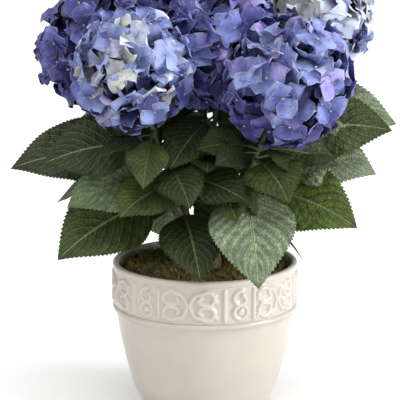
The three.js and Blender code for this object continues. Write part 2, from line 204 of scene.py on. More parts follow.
# ------------------------------------------------------------------ growth rule

def scatter(seed, low, high):
    """A repeatable number between low and high for each seed."""
    wave = math.sin(seed * 12.9898) * 43758.5453
    return low + (high - low) * (wave - math.floor(wave))


def heading(azimuth):
    """The unit vector of an azimuth in degrees, in the level plane."""
    turn = math.radians(azimuth)
    return np.array([math.cos(turn), math.sin(turn), 0.0])


def unit(vector):
    return vector / np.linalg.norm(vector)


class Curve:
    """The line of a cane, from its foot on the crown to the centre of its flower head."""

    def __init__(self, cane):
        head = np.array(cane.head, float)
        spread = np.array([head[0], head[1], 0.0])
        foot = heading(cane.foot) * (0 if cane.name == "middle" else CANE["foot_ring"])
        foot[2] = SOIL_TOP + CROWN["height"] + 2 * SEAT_GAP
        lean = unit(spread * CANE["head_lean"] + UP)
        rise = foot + spread * CANE["foot_lean"] + UP * CANE["rise"]
        self.hold = np.array([foot, rise, head - lean * CANE["head_reach"], head])

    def point(self, share):
        rest = 1 - share
        weights = [rest**3, 3 * rest**2 * share, 3 * rest * share**2, share**3]
        return np.array(weights) @ self.hold

    def tangent(self, share):
        a, b, c = np.diff(self.hold, axis=0)
        rest = 1 - share
        return unit(rest**2 * a + 2 * rest * share * b + share**2 * c)

    def length(self):
        marks = np.array([self.point(i / 200) for i in range(201)])
        return np.linalg.norm(np.diff(marks, axis=0), axis=1).sum()


def loft_solid(sections):
    """Corners of a closed loft and a search tree of its faces."""
    rows, columns = sections.shape[:2]
    faces = []
    for i in range(rows - 1):
        for j in range(columns):
            near, far = i * columns, (i + 1) * columns
            beside = (j + 1) % columns
            faces.append((near + j, near + beside, far + j))
            faces.append((near + beside, far + beside, far + j))
    for start in (0, (rows - 1) * columns):
        faces += [(start, start + k, start + k + 1) for k in range(1, columns - 1)]
    corners = sections.reshape(-1, 3)
    return corners, BVHTree.FromPolygons(corners.tolist(), faces)


def limb(curve, start, end, start_radius, end_radius, level_foot=False):
    """A tapering limb along part of a curve, as its search tree."""
    rings = max(2, round((end - start) * 14))
    sections = []
    for i in range(rings + 1):
        share = i / rings
        along = start + (end - start) * share
        axis = UP if i == 0 and level_foot else curve.tangent(along)
        side = unit(np.cross([0.0, 1.0, 0.0], axis))
        front = np.cross(axis, side)
        radius = start_radius + (end_radius - start_radius) * share
        turns = np.arange(CANE["sides"]) * 2 * math.pi / CANE["sides"]
        around = np.outer(np.cos(turns), side) + np.outer(np.sin(turns), front)
        sections.append(curve.point(along) + radius * around)
    return loft_solid(np.array(sections))[1]


@dataclass
class Leaf:
    """One leaf: its node, its heading and slope, its size and the way its face is turned."""

    owner: int
    inner: bool
    face: float
    tint: str
    node: np.ndarray
    azimuth: float
    slope: float
    length: float
    reach: float
    roll: float = 0.0


def blade_half_width(share, length):
    """Half the blade's width at shares of its length: rounded below, drawn to a point."""
    swell = np.sin(np.pi * np.clip(share, 0, 1) ** LEAF["widest"]).clip(0) ** LEAF["fullness"]
    return length * LEAF["width_ratio"] * swell * (1 - LEAF["point"] * share**3)


def leaf_frames(leaf, along):
    """Centre, side and normal of a leaf at distances from its node."""
    turn = math.radians(LEAF["bend"]) / leaf.reach
    start = math.radians(leaf.slope + LEAF["bend"] / 2)
    now = (start - turn * np.asarray(along, float))[:, None]
    out, level = heading(leaf.azimuth), heading(leaf.azimuth + 90)
    centre = leaf.node + out * (math.sin(start) - np.sin(now)) / turn
    centre = centre + UP * (np.cos(now) - math.cos(start)) / turn
    lift = UP * np.cos(now) - out * np.sin(now)
    side = level * math.cos(leaf.roll) + lift * math.sin(leaf.roll)
    normal = lift * math.cos(leaf.roll) - level * math.sin(leaf.roll)
    return centre, side, normal


def facing_roll(leaf):
    """The roll that turns a leaf's upper face to its azimuth, or outwards, and to the sky."""
    centre, side, normal = (part[0] for part in leaf_frames(leaf, [leaf.reach * 0.6]))
    outwards = math.degrees(math.atan2(centre[1], centre[0]))
    face = heading(outwards if leaf.face is None else leaf.face) + UP * LEAF["face_rise"]
    limit = math.radians(LEAF["roll_limit"])
    return min(max(math.atan2(-face @ side, face @ normal), -limit), limit)


def leaf_solid(leaf, extra=0.0):
    """A leaf as a loft of thin diamonds, thickened by an extra amount all round."""
    width, half = LEAF["petiole_width"], LEAF["thickness"] * 0.5
    shares = np.array(LEAF["stations"])
    along = [0, LEAF["petiole"] * 0.9, *(LEAF["petiole"] + shares * leaf.length), leaf.reach]
    widths = np.array([width, width, *blade_half_width(shares, leaf.length), 0.7])
    halves = np.array([width * 0.8, width * 0.7, *([half] * len(shares)), 0.5])
    rise = np.where(widths > 4, widths * LEAF["fold"], 0)
    centre, side, normal = leaf_frames(leaf, along)
    places = [(widths + extra, rise), (0 * widths, halves + extra)]
    places += [(-widths - extra, rise), (0 * widths, -halves - extra)]
    rings = [centre + side * a[:, None] + normal * h[:, None] for a, h in places]
    return loft_solid(np.stack(rings, axis=1))


def leaf_in_the_open(leaf):
    """True where a leaf keeps out of the pot and of every flower head."""
    corners, _ = leaf_solid(leaf)
    over_pot = np.hypot(corners[:, 0], corners[:, 1]) < POT["rim_radius"] + 4
    if (over_pot & (corners[:, 2] < POT["height"] + 4)).any():
        return False
    return all(
        (np.linalg.norm(corners - cane.head, axis=1) >= cane.radius + HEAD_CLEARANCE).all()
        for cane in CANES
    )


def settled_leaf(leaf, taken):
    """A leaf in the first place at which it has room, or None where there is none."""
    for swing in INNER_SWINGS if leaf.inner else OUTER_SWINGS:
        for lift in LIFT_STEPS:
            tried = replace(leaf, azimuth=leaf.azimuth + swing, slope=leaf.slope + lift)
            tried.roll = facing_roll(tried)
            if not leaf_in_the_open(tried):
                continue
            fat = leaf_solid(tried, LEAF_CLEARANCE)[1]
            if all(owner == leaf.owner or not fat.overlap(solid) for owner, solid in taken):
                return tried
    return None


def paired_leaves():
    """The leaves of every pair before they settle: outer leaves first, then inner ones."""
    for inner in (False, True):
        for owner, cane in enumerate(CANES):
            for i, pair in enumerate(cane.pairs):
                size = pair.length * (LEAF["inner_size"] if inner else 1)
                yield Leaf(
                    owner=owner,
                    inner=inner,
                    face=None if inner else pair.face,
                    tint=pair.inner_tint if inner else pair.tint,
                    node=cane.curve.point(pair.share),
                    azimuth=pair.azimuth
                    + (180 + scatter(owner * 10 + i, -12, 12) if inner else 0),
                    slope=LEAF["inner_slope"] if inner else pair.slope,
                    length=size - LEAF["petiole"],
                    reach=size,
                )


def small_leaves():
    """Small leaves that fill the plant's middle, before they settle."""
    for i, (share, turn) in enumerate(SMALL_LEAVES):
        for owner, cane in enumerate(CANES):
            size = SMALL_LENGTH * scatter(owner * 7 + i, 0.86, 1.12)
            yield Leaf(
                owner=owner,
                inner=True,
                face=None,
                # Deep green: painted shade for the plant's middle.
                tint="deep",
                node=cane.curve.point(share),
                azimuth=cane.foot + turn,
                slope=LEAF["inner_slope"],
                length=size - LEAF["petiole"],
                reach=size,
            )


@lru_cache(maxsize=1)
def grown_canes():
    """Every cane with its curve and its settled leaves."""
    gap = SEAT_GAP
    taken = []
    for owner, cane in enumerate(CANES):
        cane.curve = Curve(cane)
        step = gap / cane.curve.length()
        leafy, stalk = CANE["leafy_from"], CANE["stalk_from"]
        wood = limb(cane.curve, 0, leafy, CANE["foot_width"], CANE["leafy_width"], True)
        stem = limb(cane.curve, leafy + step, stalk, CANE["leafy_width"], CANE["stalk_width"])
        top = limb(
            cane.curve, stalk + step, CANE["sunk_to"], CANE["stalk_width"], CANE["top_width"]
        )
        taken += [(-1, wood), (-1, top), (owner, stem)]
    for sprout in [*paired_leaves(), *small_leaves()]:
        leaf = settled_leaf(sprout, taken)
        if leaf:
            CANES[leaf.owner].leaves.append(leaf)
            taken.append((leaf.owner, leaf_solid(leaf)[1]))
    return CANES


def partings(cane):
    """Planes that part a head from its neighbours, as unit normals and distances."""
    found = []
    for other in CANES:
        if other is not cane:
            normal = np.array(other.head, float) - cane.head
            away = np.linalg.norm(normal)
            share = (away**2 + cane.radius**2 - other.radius**2) / (2 * away)
            found.append((normal / away, share - HEAD_GAP))
    return found


def pressed(points, cane):
    """Moves points of the full ball to their places in a head pressed by its neighbours."""
    away = np.linalg.norm(points, axis=1, keepdims=True)
    rays = points / np.maximum(away, 1e-6)
    reach = np.full(len(points), float(cane.radius))
    for normal, distance in partings(cane):
        facing = rays @ normal
        near = facing > 1e-6
        reach[near] = np.minimum(reach[near], distance / facing[near])
    return points * (reach / cane.radius)[:, None] + cane.head


# ------------------------------------------------------------------ settings

def tone(code):
    """A colour written as six hexadecimal digits, as linear red, green and blue."""
    parts = [int(code[i : i + 2], 16) / 255 for i in (0, 2, 4)]
    return tuple(p / 12.92 if p <= 0.04045 else ((p + 0.055) / 1.055) ** 2.4 for p in parts)


def colour(name, description, code):
    """A colour property with its default written as hexadecimal digits."""
    return FloatVectorProperty(
        name=name, description=description, subtype="COLOR", size=3, min=0, max=1, default=tone(code)
    )


def length(name, description, default):
    """A length property in metres."""
    return FloatProperty(
        name=name, description=description, default=default, min=0, subtype="DISTANCE", unit="LENGTH"
    )


class PotSettings(bpy.types.PropertyGroup):
    """Sizes and colours of the glazed pot."""

    glaze: colour("Glaze", "Cream glaze where it lies thick", "b8b1a6")
    thin_glaze: colour("Thin glaze", "Glaze on raised edges", "c1bab0")
    relief: length("Relief", "Height of the scrolls above the band's field", 0.0022)
    stroke: length("Stroke", "Half the width of a scroll's ridge", 0.0034)
    repeats: IntProperty(
        name="Repeats", description="Times the scroll panel repeats round the band", default=6, min=1
    )
    columns: IntProperty(
        name="Columns", description="Faces round the pot", default=540, min=60
    )


class FillingSettings(bpy.types.PropertyGroup):
    """Colours and density of the soil and the moss on it."""

    soil: colour("Soil", "Moist potting soil", "2e211a")
    moss: colour("Moss", "Living moss", "6d693b")
    straw: colour("Dry moss", "Dry moss fibres", "bba86a")
    fibres: IntProperty(name="Fibres", description="Moss fibres", default=7000, min=0)
    fibre_length: length("Fibre length", "Length of a moss fibre", 0.0108)


class StemSettings(bpy.types.PropertyGroup):
    """Colours and relief of the woody canes and green stems."""

    bark: colour("Bark", "Grey-brown bark", "6b5740")
    furrow: colour("Furrow", "Dark furrows of the bark", "33271b")
    stem: colour("Stem", "Green stems and leaf stalks", "3b4827")
    bark_depth: length("Bark relief", "Depth of the bark's furrows", 0.0006)


class LeafSettings(bpy.types.PropertyGroup):
    """Colours, teeth and relief of the leaves."""

    # The greens for leaves in the plant's shade and for leaves half and fully in the light are copies
    # of one green: painted shade and painted light.
    deep: colour("Deep green", "Old leaves in the plant's shade", "283212")
    mid: colour("Green", "Full-grown leaves", "37461c")
    dull: colour("Dull green", "Leaves half in the light", "607350")
    pale: colour("Pale green", "Leaves in full light", "717f64")
    young: colour("Young green", "Young yellow-green leaves", "4b5e26")
    vein: colour("Vein", "Midrib and side veins", "b6c08e")
    underside: colour("Underside", "Dull underside", "6d8257")
    teeth: IntProperty(name="Teeth", description="Teeth on each side of a leaf", default=24, min=4)
    vein_pairs: IntProperty(name="Vein pairs", description="Pairs of side veins", default=10, min=2)
    quilting: length("Quilting", "Height of the blade between side veins", 0.0011)
    sheet: length("Thickness", "Thickness of a leaf", 0.0005)


class BlossomSettings(bpy.types.PropertyGroup):
    """Count, size and colours of the florets."""

    florets: IntProperty(name="Florets", description="Florets on a head", default=88, min=8)
    droop: FloatProperty(
        name="Droop", description="Lowest florets' angle from a head's top", subtype="ANGLE",
        default=math.radians(163),
    )
    sepal: length("Sepal length", "Length of one sepal", 0.0225)
    sky: colour("Sky blue", "Pale blue sepals", "93a4d2")
    periwinkle: colour("Periwinkle", "Blue-violet sepals", "636cb0")
    violet: colour("Violet", "Violet-blue sepals", "52539a")
    deep: colour("Deep violet", "Dark violet-blue sepals", "3c3d84")
    lilac: colour("Lilac", "Pinkish sepals", "9a92c8")
    cream: colour("Cream", "Papery cream sepals", "c3c6ba")
    white: colour("White", "Nearly white sepals", "d0d6e6")
    mint: colour("Mint", "Greenish young sepals", "adb998")
    bead: colour("Bead", "Small bead in a floret's middle", "8c9a8e")


class StageSettings(bpy.types.PropertyGroup):
    """Floor, lights and camera."""

    target: FloatVectorProperty(
        name="Target", description="Point the camera looks at", subtype="TRANSLATION",
        unit="LENGTH", default=(-0.0054, 0.0, 0.2253),
    )
    elevation: FloatProperty(
        name="Elevation", description="Camera's angle above the horizon", subtype="ANGLE",
        default=math.radians(12.4),
    )
    distance: length("Distance", "From the camera to the target", 2.1)
    view_width: length("View width", "Width of the view at the target", 0.430)
    sky: FloatProperty(name="Sky", description="Light from all sides", default=0.58, min=0)
    overhead: FloatProperty(
        name="Overhead", description="Strength of the wide soft light above", default=2.55, min=0
    )
    key: FloatProperty(
        name="Key", description="Power of the light at the right", default=40, min=0, unit="POWER"
    )
    fill: FloatProperty(
        name="Fill", description="Power of the light at the left", default=3, min=0, unit="POWER"
    )


SETTINGS = {
    "hydrangea_pot": PotSettings,
    "hydrangea_filling": FillingSettings,
    "hydrangea_stems": StemSettings,
    "hydrangea_leaves": LeafSettings,
    "hydrangea_blossom": BlossomSettings,
    "hydrangea_stage": StageSettings,
}


# ------------------------------------------------------------------ node and mesh helpers

class Sheet:
    """Adds nodes to a tree, linking sockets and setting plain values."""

    def __init__(self, tree):
        self.tree = tree

    def add(self, kind, sockets=None, **settings):
        node = self.tree.nodes.new(kind)
        for name, value in settings.items():
            setattr(node, name, value)
        for key, value in (sockets or {}).items():
            if isinstance(value, bpy.types.NodeSocket):
                self.tree.links.new(value, node.inputs[key])
            else:
                node.inputs[key].default_value = value
        return node

    def math(self, operation, *values):
        kind = "ShaderNodeMath"
        return self.add(kind, dict(enumerate(values)), operation=operation).outputs[0]

    def ramp(self, value, low, high, start, end):
        """Eases a value from one range to another."""
        sockets = {"Value": value, "From Min": low, "From Max": high, "To Min": start, "To Max": end}
        node = self.add("ShaderNodeMapRange", sockets, interpolation_type="SMOOTHSTEP")
        return node.outputs["Result"]

    def mix(self, share, a, b, blend="MIX"):
        """Mixes two colours."""
        node = self.add("ShaderNodeMix", data_type="RGBA", blend_type=blend)
        inputs = [s for s in node.inputs if s.type == "RGBA"]
        for socket, value in ((node.inputs["Factor"], share), *zip(inputs, (a, b))):
            if isinstance(value, bpy.types.NodeSocket):
                self.tree.links.new(value, socket)
            else:
                socket.default_value = value
        return next(s for s in node.outputs if s.type == "RGBA")


def rgba(value):
    """A colour setting with full opacity."""
    return (*value, 1.0)


def shade(rgb, factor):
    """A lighter or darker version of a colour."""
    return tuple(min(1.0, part * factor) for part in rgb) + (1.0,)


class Finish:
    """A material on its way: its sheet of nodes and its surface shader."""

    def __init__(self, name, roughness, specular=0.5, **sockets):
        self.material = bpy.data.materials.new(name)
        self.material.use_nodes = True
        tree = self.material.node_tree
        self.sheet = Sheet(tree)
        self.shader = tree.nodes["Principled BSDF"]
        self.shader.inputs["Roughness"].default_value = roughness
        self.shader.inputs["Specular IOR Level"].default_value = specular
        for key, value in sockets.items():
            self.shader.inputs[key.replace("_", " ").title()].default_value = value

    def place(self, scale=(1, 1, 1)):
        """Object coordinates, stretched by a scale."""
        coords = self.sheet.add("ShaderNodeTexCoord").outputs["Object"]
        return self.sheet.add("ShaderNodeMapping", {"Vector": coords, "Scale": scale}).outputs[0]

    def noise(self, scale, detail=3.0, roughness=0.5, vector=None):
        sockets = {"Scale": scale, "Detail": detail, "Roughness": roughness}
        sockets["Vector"] = self.place() if vector is None else vector
        return self.sheet.add("ShaderNodeTexNoise", sockets).outputs["Fac"]

    def paint(self, socket):
        self.sheet.tree.links.new(socket, self.shader.inputs["Base Color"])

    def relief(self, height, distance, strength=1.0):
        sockets = {"Height": height, "Distance": distance, "Strength": strength}
        bump = self.sheet.add("ShaderNodeBump", sockets)
        self.sheet.tree.links.new(bump.outputs[0], self.shader.inputs["Normal"])


class Growth:
    """Parts gathered into one mesh, each with a pattern square of its own."""

    def __init__(self):
        self.points, self.faces, self.squares, self.cells, self.skins = [], [], [], [], []
        self.count = 0

    def add(self, points, faces, squares, cells, skins):
        """Points in mm, four-cornered faces, each corner's place in its square, cell and skin."""
        self.points.append(points)
        self.faces.append(faces + self.count)
        self.squares.append(squares)
        self.cells.append(np.broadcast_to(cells, len(faces)))
        self.skins.append(np.broadcast_to(skins, len(faces)))
        self.count += len(points)

    def mesh(self, name, materials):
        """The gathered parts as one Blender mesh in metres."""
        points = np.concatenate(self.points) * METRES
        faces = np.concatenate(self.faces)
        mesh = bpy.data.meshes.new(name)
        mesh.from_pydata(points.tolist(), [], faces.tolist())
        for material in materials:
            mesh.materials.append(material)
        mesh.polygons.foreach_set("material_index", np.concatenate(self.skins).astype(np.int32))
        squares = np.concatenate(self.squares).reshape(-1, 2)
        cells = np.concatenate(self.cells)
        mesh.uv_layers.new(name="pattern").uv.foreach_set("vector", squares.astype(np.float32).ravel())
        lay_out(mesh, squares, np.repeat(cells, 4))
        mesh.polygons.foreach_set("use_smooth", np.ones(len(faces), bool))
        mesh.set_sharp_from_angle(angle=math.radians(55))
        return mesh


def lay_out(mesh, squares, cells):
    """Spreads each part's square over a cell of its own in the bake's map."""
    _, cells = np.unique(cells, return_inverse=True)
    across = math.ceil(math.sqrt(cells.max() + 1))
    corner = np.stack([cells % across, cells // across], axis=1)
    places = (corner + 0.03 + 0.94 * squares) / across
    layer = mesh.uv_layers.new(name="OFBake")
    layer.uv.foreach_set("vector", places.astype(np.float32).ravel())


def sheet_faces(rows, columns):
    """Faces and sides of a thin closed sheet: upper grid first, lower grid after it."""
    cell = np.arange(rows * columns).reshape(rows, columns)
    a, b = cell[:-1, :-1], cell[:-1, 1:]
    c, d = cell[1:, 1:], cell[1:, :-1]
    top = np.stack([a, b, c, d], axis=-1).reshape(-1, 4)
    below = rows * columns
    bottom = top[:, ::-1] + below
    left, right = cell[:, 0], cell[:, -1]
    first, last = cell[0], cell[-1]
    rims = []
    for line in (left[::-1], right, first, last[::-1]):
        rims.append(np.stack([line[1:], line[:-1], line[:-1] + below, line[1:] + below], axis=-1))
    faces = np.concatenate([top, bottom, *rims])
    lower = np.zeros(len(faces), int)
    lower[len(top) : 2 * len(top)] = 1
    return faces, lower


def new_object(name, mesh):
    """An object that shows a mesh, in the scene."""
    thing = bpy.data.objects.new(name, mesh)
    bpy.context.scene.collection.objects.link(thing)
    return thing


def wear(thing, slot, *nodes):
    """Ties a finished piece to the frame's root body and hides the nodes it stands for; the slot is
    not used.
    """
    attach(thing, "root")
    if nodes:
        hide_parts(*nodes)


def new_tree(name, inputs):
    """An empty Geometry Nodes tree with named inputs, its group input and its sheet."""
    tree = bpy.data.node_groups.new(name, "GeometryNodeTree")
    tree.is_modifier = True
    tree.interface.new_socket("Geometry", in_out="INPUT", socket_type="NodeSocketGeometry")
    for label, kind in inputs.items():
        tree.interface.new_socket(label, in_out="INPUT", socket_type=f"NodeSocket{kind}")
    tree.interface.new_socket("Geometry", in_out="OUTPUT", socket_type="NodeSocketGeometry")
    sheet = Sheet(tree)
    return tree, sheet, sheet.add("NodeGroupInput").outputs


def end_tree(sheet, geometry):
    """Closes a tree with its group output."""
    sheet.add("NodeGroupOutput", {"Geometry": geometry})


def grow(thing, tree, **inputs):
    """Runs a tree on an object and leaves the result as its plain mesh."""
    modifier = thing.modifiers.new(tree.name, "NODES")
    modifier.node_group = tree
    names = {label.replace("_", " ").capitalize(): value for label, value in inputs.items()}
    for item in tree.interface.items_tree:
        if item.in_out == "INPUT" and item.name in names:
            modifier[item.identifier] = names[item.name]
    bpy.context.view_layer.update()
    graph = bpy.context.evaluated_depsgraph_get()
    mesh = bpy.data.meshes.new_from_object(
        thing.evaluated_get(graph), preserve_all_data_layers=True, depsgraph=graph
    )
    thing.modifiers.remove(modifier)
    plain = thing.data
    thing.data = mesh
    bpy.data.meshes.remove(plain)
    mesh.name = thing.name
    return mesh


def named(sheet, kind, name):
    """Reads a named attribute in a tree."""
    return sheet.add("GeometryNodeInputNamedAttribute", {"Name": name}, data_type=kind).outputs[0]


# ------------------------------------------------------------------ pot

def quadratic(a, b, c, steps):
    """Points on a quadratic curve."""
    t = np.linspace(0, 1, steps + 1)[:, None]
    return (1 - t) ** 2 * np.array(a) + 2 * t * (1 - t) * np.array(b) + t**2 * np.array(c)


def wall_curve(inset, steps):
    """The curved part of the wall from foot to band, set inwards by the wall's thickness."""
    heel, band = (POT["heel_radius"], POT["heel_height"]), (POT["band_radius"], POT["band_height"])
    bulge = (heel[0] + band[0]) / 2 + POT["wall_bulge"]
    low = quadratic(
        (POT["foot_radius"] - inset, POT["floor"] if inset else 0),
        (heel[0] - 4.5 - inset, 10 + inset / 2), (heel[0] - inset, heel[1]), steps,
    )
    high = quadratic(
        (heel[0] - inset, heel[1]), (bulge - inset, (heel[1] + band[1]) / 2),
        (band[0] - inset, band[1]), steps * 2,
    )
    return np.concatenate([low, high[1:]])


def pot_profile():
    """The pot's outline from the underside's edge, over the lip, to the middle of its floor."""
    field_radius = POT["rim_radius"] - POT["lip_depth"]
    turns = np.radians(np.linspace(-75, 75, 11))
    bead = np.stack([
        field_radius - 1.6 + POT["bead_radius"] * np.cos(turns),
        POT["bead_height"] + POT["bead_radius"] * np.sin(turns),
    ], axis=1)
    rows = np.linspace(POT["bead_height"] + 4.2, POT["lip_height"], 38)
    band = np.stack([np.full(len(rows), field_radius), rows], axis=1)
    rim, top, wall = POT["rim_radius"], POT["height"], POT["wall"]
    step = quadratic((field_radius + 0.1, 153.4), (rim - 0.1, 153.9), (rim, 154.8), 3)
    outer = quadratic((rim, top - 3), (rim, top), (rim - wall / 2, top), 6)
    inner = quadratic((rim - wall / 2, top), (rim - wall, top), (rim - wall, top - 3), 6)
    inside = wall_curve(wall, 6)[::-1]
    foot = quadratic((0.0, 0.0), (POT["foot_radius"] / 2, 0), (POT["foot_radius"] - 0.8, 0), 3)
    low = wall_curve(0, 9)
    low[0] = (POT["foot_radius"] - 0.2, 0.5)
    floor = np.array([[POT["foot_radius"] / 2, POT["floor"]], [0.0, POT["floor"]]])
    return np.concatenate([foot, low, bead, band, step, outer, inner[1:], inside, floor])


def arc(centre, radii, degrees, steps=22):
    """An arc or spiral in the band's plane, its radius easing from one value to another."""
    turns = np.radians(np.linspace(*degrees, steps))
    reach = np.linspace(*radii, steps)
    return np.stack([centre[0] + reach * np.cos(turns), centre[1] + reach * np.sin(turns)], axis=1)


def scroll_lines():
    """Lines of one scroll panel, as distances along the band and heights from its middle."""
    lobe = np.concatenate([
        quadratic((1.2, 0.0), (3.6, 9.6), (9.5, 13.4), 8)[:-1],
        arc((19.5, 7.4), (8.2, 6.8), (138, -58), 18)[:-1],
        quadratic((23.1, 1.6), (19.5, 0.2), (13.0, 2.4), 6)[:-1],
        arc((14.0, 6.2), (3.9, 2.6), (-105, -250), 9),
    ])
    wide = [lobe * (side, level) for side in (-1, 1) for level in (-1, 1)]
    wide += [arc((side * 34.5, level * 8.6), (7.4, 7.0), (90 + side * 70, 90 + side * 125), 8)
             for side in (-1, 1) for level in (-1, 1)]
    upper = np.concatenate([
        arc((0.0, 7.4), (7.8, 6.8), (70, 290), 20)[:-1], arc((1.0, 6.6), (5.4, 3.4), (290, 430), 12),
    ])
    lower = arc((0, -7.6), (7.4, 7.4), (0, 360), 24)
    boss = arc((0.4, -7.6), (1.6, 1.6), (0, 360), 10)
    panels = [line + (-17.3, 0) for line in wide]
    panels += [line + (37.8, 0) for line in (upper, lower, boss)]
    bars = [np.stack([np.full(7, x), np.linspace(-15.5, 15.5, 7)], axis=1) for x in (20.6, 53.2)]
    return panels + bars


def scroll_mesh(radius):
    """The scroll lines of one repeat wrapped on the band, as a mesh of edges."""
    middle = (POT["bead_height"] + POT["bead_radius"] + POT["lip_height"]) / 2 + 0.2
    points, edges = [], []
    for line in scroll_lines():
        turns = line[:, 0] / radius - math.pi / 2
        start = len(points)
        for turn, height in zip(turns, line[:, 1] + middle):
            points.append((radius * math.cos(turn), radius * math.sin(turn), height))
        edges += [(start + i, start + i + 1) for i in range(len(line) - 1)]
    mesh = bpy.data.meshes.new("scroll_lines")
    mesh.from_pydata((np.array(points) * METRES).tolist(), edges, [])
    return mesh


def relief_tree(glaze):
    """Raises the pot's surface beside scroll lines that repeat round its axis."""
    inputs = {"Lines": "Object", "Repeats": "Int", "Relief": "Float", "Stroke": "Float"}
    tree, sheet, given = new_tree("Scroll relief", inputs)
    lines = sheet.add("GeometryNodeObjectInfo", {"Object": given["Lines"]}).outputs["Geometry"]
    spots = sheet.add("GeometryNodePoints", {"Count": given["Repeats"]}).outputs[0]
    index = sheet.add("GeometryNodeInputIndex").outputs[0]
    share = sheet.math("DIVIDE", index, given["Repeats"])
    angle = sheet.math("MULTIPLY", share, 2 * math.pi)
    turn = sheet.add("ShaderNodeCombineXYZ", {"Z": angle}).outputs[0]
    rotation = sheet.add("FunctionNodeEulerToRotation", {0: turn}).outputs[0]
    ring = sheet.add(
        "GeometryNodeInstanceOnPoints", {"Points": spots, "Instance": lines, "Rotation": rotation}
    ).outputs[0]
    real = sheet.add("GeometryNodeRealizeInstances", {"Geometry": ring}).outputs[0]
    near = sheet.add("GeometryNodeProximity", {0: real}, target_element="EDGES")
    raised = sheet.ramp(near.outputs["Distance"], 0.0003, given["Stroke"], 1.0, 0.0)
    lift = sheet.math("MULTIPLY", raised, given["Relief"])
    place = sheet.add("GeometryNodeInputPosition").outputs[0]
    flat = sheet.add("ShaderNodeVectorMath", {0: place, 1: (1, 1, 0)}, operation="MULTIPLY")
    outwards = sheet.add("ShaderNodeVectorMath", {0: flat.outputs[0]}, operation="NORMALIZE")
    offset = sheet.add(
        "ShaderNodeVectorMath", {0: outwards.outputs[0], "Scale": lift}, operation="SCALE"
    )
    stored = sheet.add(
        "GeometryNodeStoreNamedAttribute",
        {"Geometry": given["Geometry"], "Name": "raised", "Value": raised},
        data_type="FLOAT", domain="POINT",
    ).outputs[0]
    shaped = sheet.add("GeometryNodeSetPosition", {"Geometry": stored, "Offset": offset.outputs[0]})
    done = sheet.add("GeometryNodeRealizeInstances", {"Geometry": shaped.outputs[0]}).outputs[0]
    glazed = sheet.add("GeometryNodeSetMaterial", {"Geometry": done, "Material": glaze}).outputs[0]
    end_tree(sheet, glazed)
    return tree


def glaze_finish(settings):
    """Cream glaze: soft mottling, thinner and lighter where the relief stands out, and painted shade
    on the relief's flanks.
    """
    finish = Finish("cream_glaze", 0.34, 0.5, Coat_weight=0.35, Coat_roughness=0.12)
    sheet = finish.sheet
    raised = sheet.add("ShaderNodeAttribute", attribute_name="raised").outputs["Fac"]
    mottle = sheet.ramp(finish.noise(38, 4), 0.35, 0.7, 0.0, 1.0)
    thick = sheet.mix(mottle, shade(settings.glaze, 0.95), rgba(settings.glaze))
    edge = sheet.ramp(raised, 0.05, 0.95, 0.0, 1.0)
    # Painted shade on the flanks of each scroll ridge, strongest half way up them.
    flank_shade = sheet.math("MULTIPLY", raised, sheet.math("SUBTRACT", 1.0, raised))
    body = sheet.mix(edge, thick, rgba(settings.thin_glaze))
    shadow = sheet.math("MULTIPLY", flank_shade, 0.6)
    finish.paint(sheet.mix(shadow, body, shade(settings.glaze, 0.6)))
    finish.relief(finish.noise(420, 2), 0.0002, 0.35)
    return finish.material


def turned_mesh(name, profile, columns):
    """Turns a profile of radii and heights in mm about the pot's axis."""
    turns = np.arange(columns) * 2 * math.pi / columns
    inner = profile[1:-1]
    rings = np.stack([
        np.outer(inner[:, 0], np.cos(turns)),
        np.outer(inner[:, 0], np.sin(turns)),
        np.repeat(inner[:, 1:], columns, axis=1),
    ], axis=-1)
    points = np.concatenate([rings.reshape(-1, 3), [[0, 0, profile[0][1]], [0, 0, profile[-1][1]]]])
    faces = []
    for i in range(len(inner) - 1):
        for j in range(columns):
            k = (j + 1) % columns
            near, far = i * columns, (i + 1) * columns
            faces.append((near + j, near + k, far + k, far + j))
    last = (len(inner) - 1) * columns
    for j in range(columns):
        k = (j + 1) % columns
        faces.append((k, j, len(points) - 2))
        faces.append((last + j, last + k, len(points) - 1))
    mesh = bpy.data.meshes.new(name)
    mesh.from_pydata((points * METRES).tolist(), [], faces)
    mesh.polygons.foreach_set("use_smooth", np.ones(len(faces), bool))
    return mesh


class HYDRANGEA_OT_pot(bpy.types.Operator):
    """Make the glazed pot with its bead, scroll band and rounded lip"""

    bl_idname = "hydrangea.pot"
    bl_label = "Glazed pot"

    def execute(self, context):
        settings = context.scene.hydrangea_pot
        pot = new_object("pot_body", turned_mesh("pot_body", pot_profile(), settings.columns))
        lines = new_object("scroll_lines", scroll_mesh(POT["rim_radius"] - POT["lip_depth"]))
        grow(
            pot, relief_tree(glaze_finish(settings)), lines=lines, repeats=settings.repeats,
            relief=settings.relief, stroke=settings.stroke,
        )
        bpy.data.objects.remove(lines)
        pot.data.set_sharp_from_angle(angle=math.radians(50))
        wear(pot, "glaze", "glazed_pot")
        return {"FINISHED"}


# ------------------------------------------------------------------ soil and moss

def soil_finish(settings):
    """Dark crumbly soil with pale specks."""
    finish = Finish("moist_soil", 0.95, 0.2)
    sheet = finish.sheet
    crumbs = finish.noise(260, 5, 0.65)
    lumps = sheet.ramp(crumbs, 0.35, 0.7, 0, 1)
    body = sheet.mix(lumps, shade(settings.soil, 0.5), shade(settings.soil, 1.6))
    specks = sheet.ramp(finish.noise(900, 1), 0.68, 0.74, 0, 0.7)
    finish.paint(sheet.mix(specks, body, shade(settings.soil, 4.5)))
    finish.relief(crumbs, 0.002)
    return finish.material


def moss_finish(name, rgb, other):
    """Moss or dry fibre: a mottled colour between two tones."""
    finish = Finish(name, 0.85, 0.25)
    sheet = finish.sheet
    mottle = sheet.ramp(finish.noise(140, 4, 0.6), 0.36, 0.64, 0, 1)
    finish.paint(sheet.mix(mottle, shade(rgb, 0.4), rgba(other)))
    finish.relief(finish.noise(600, 3), 0.0012)
    return finish.material


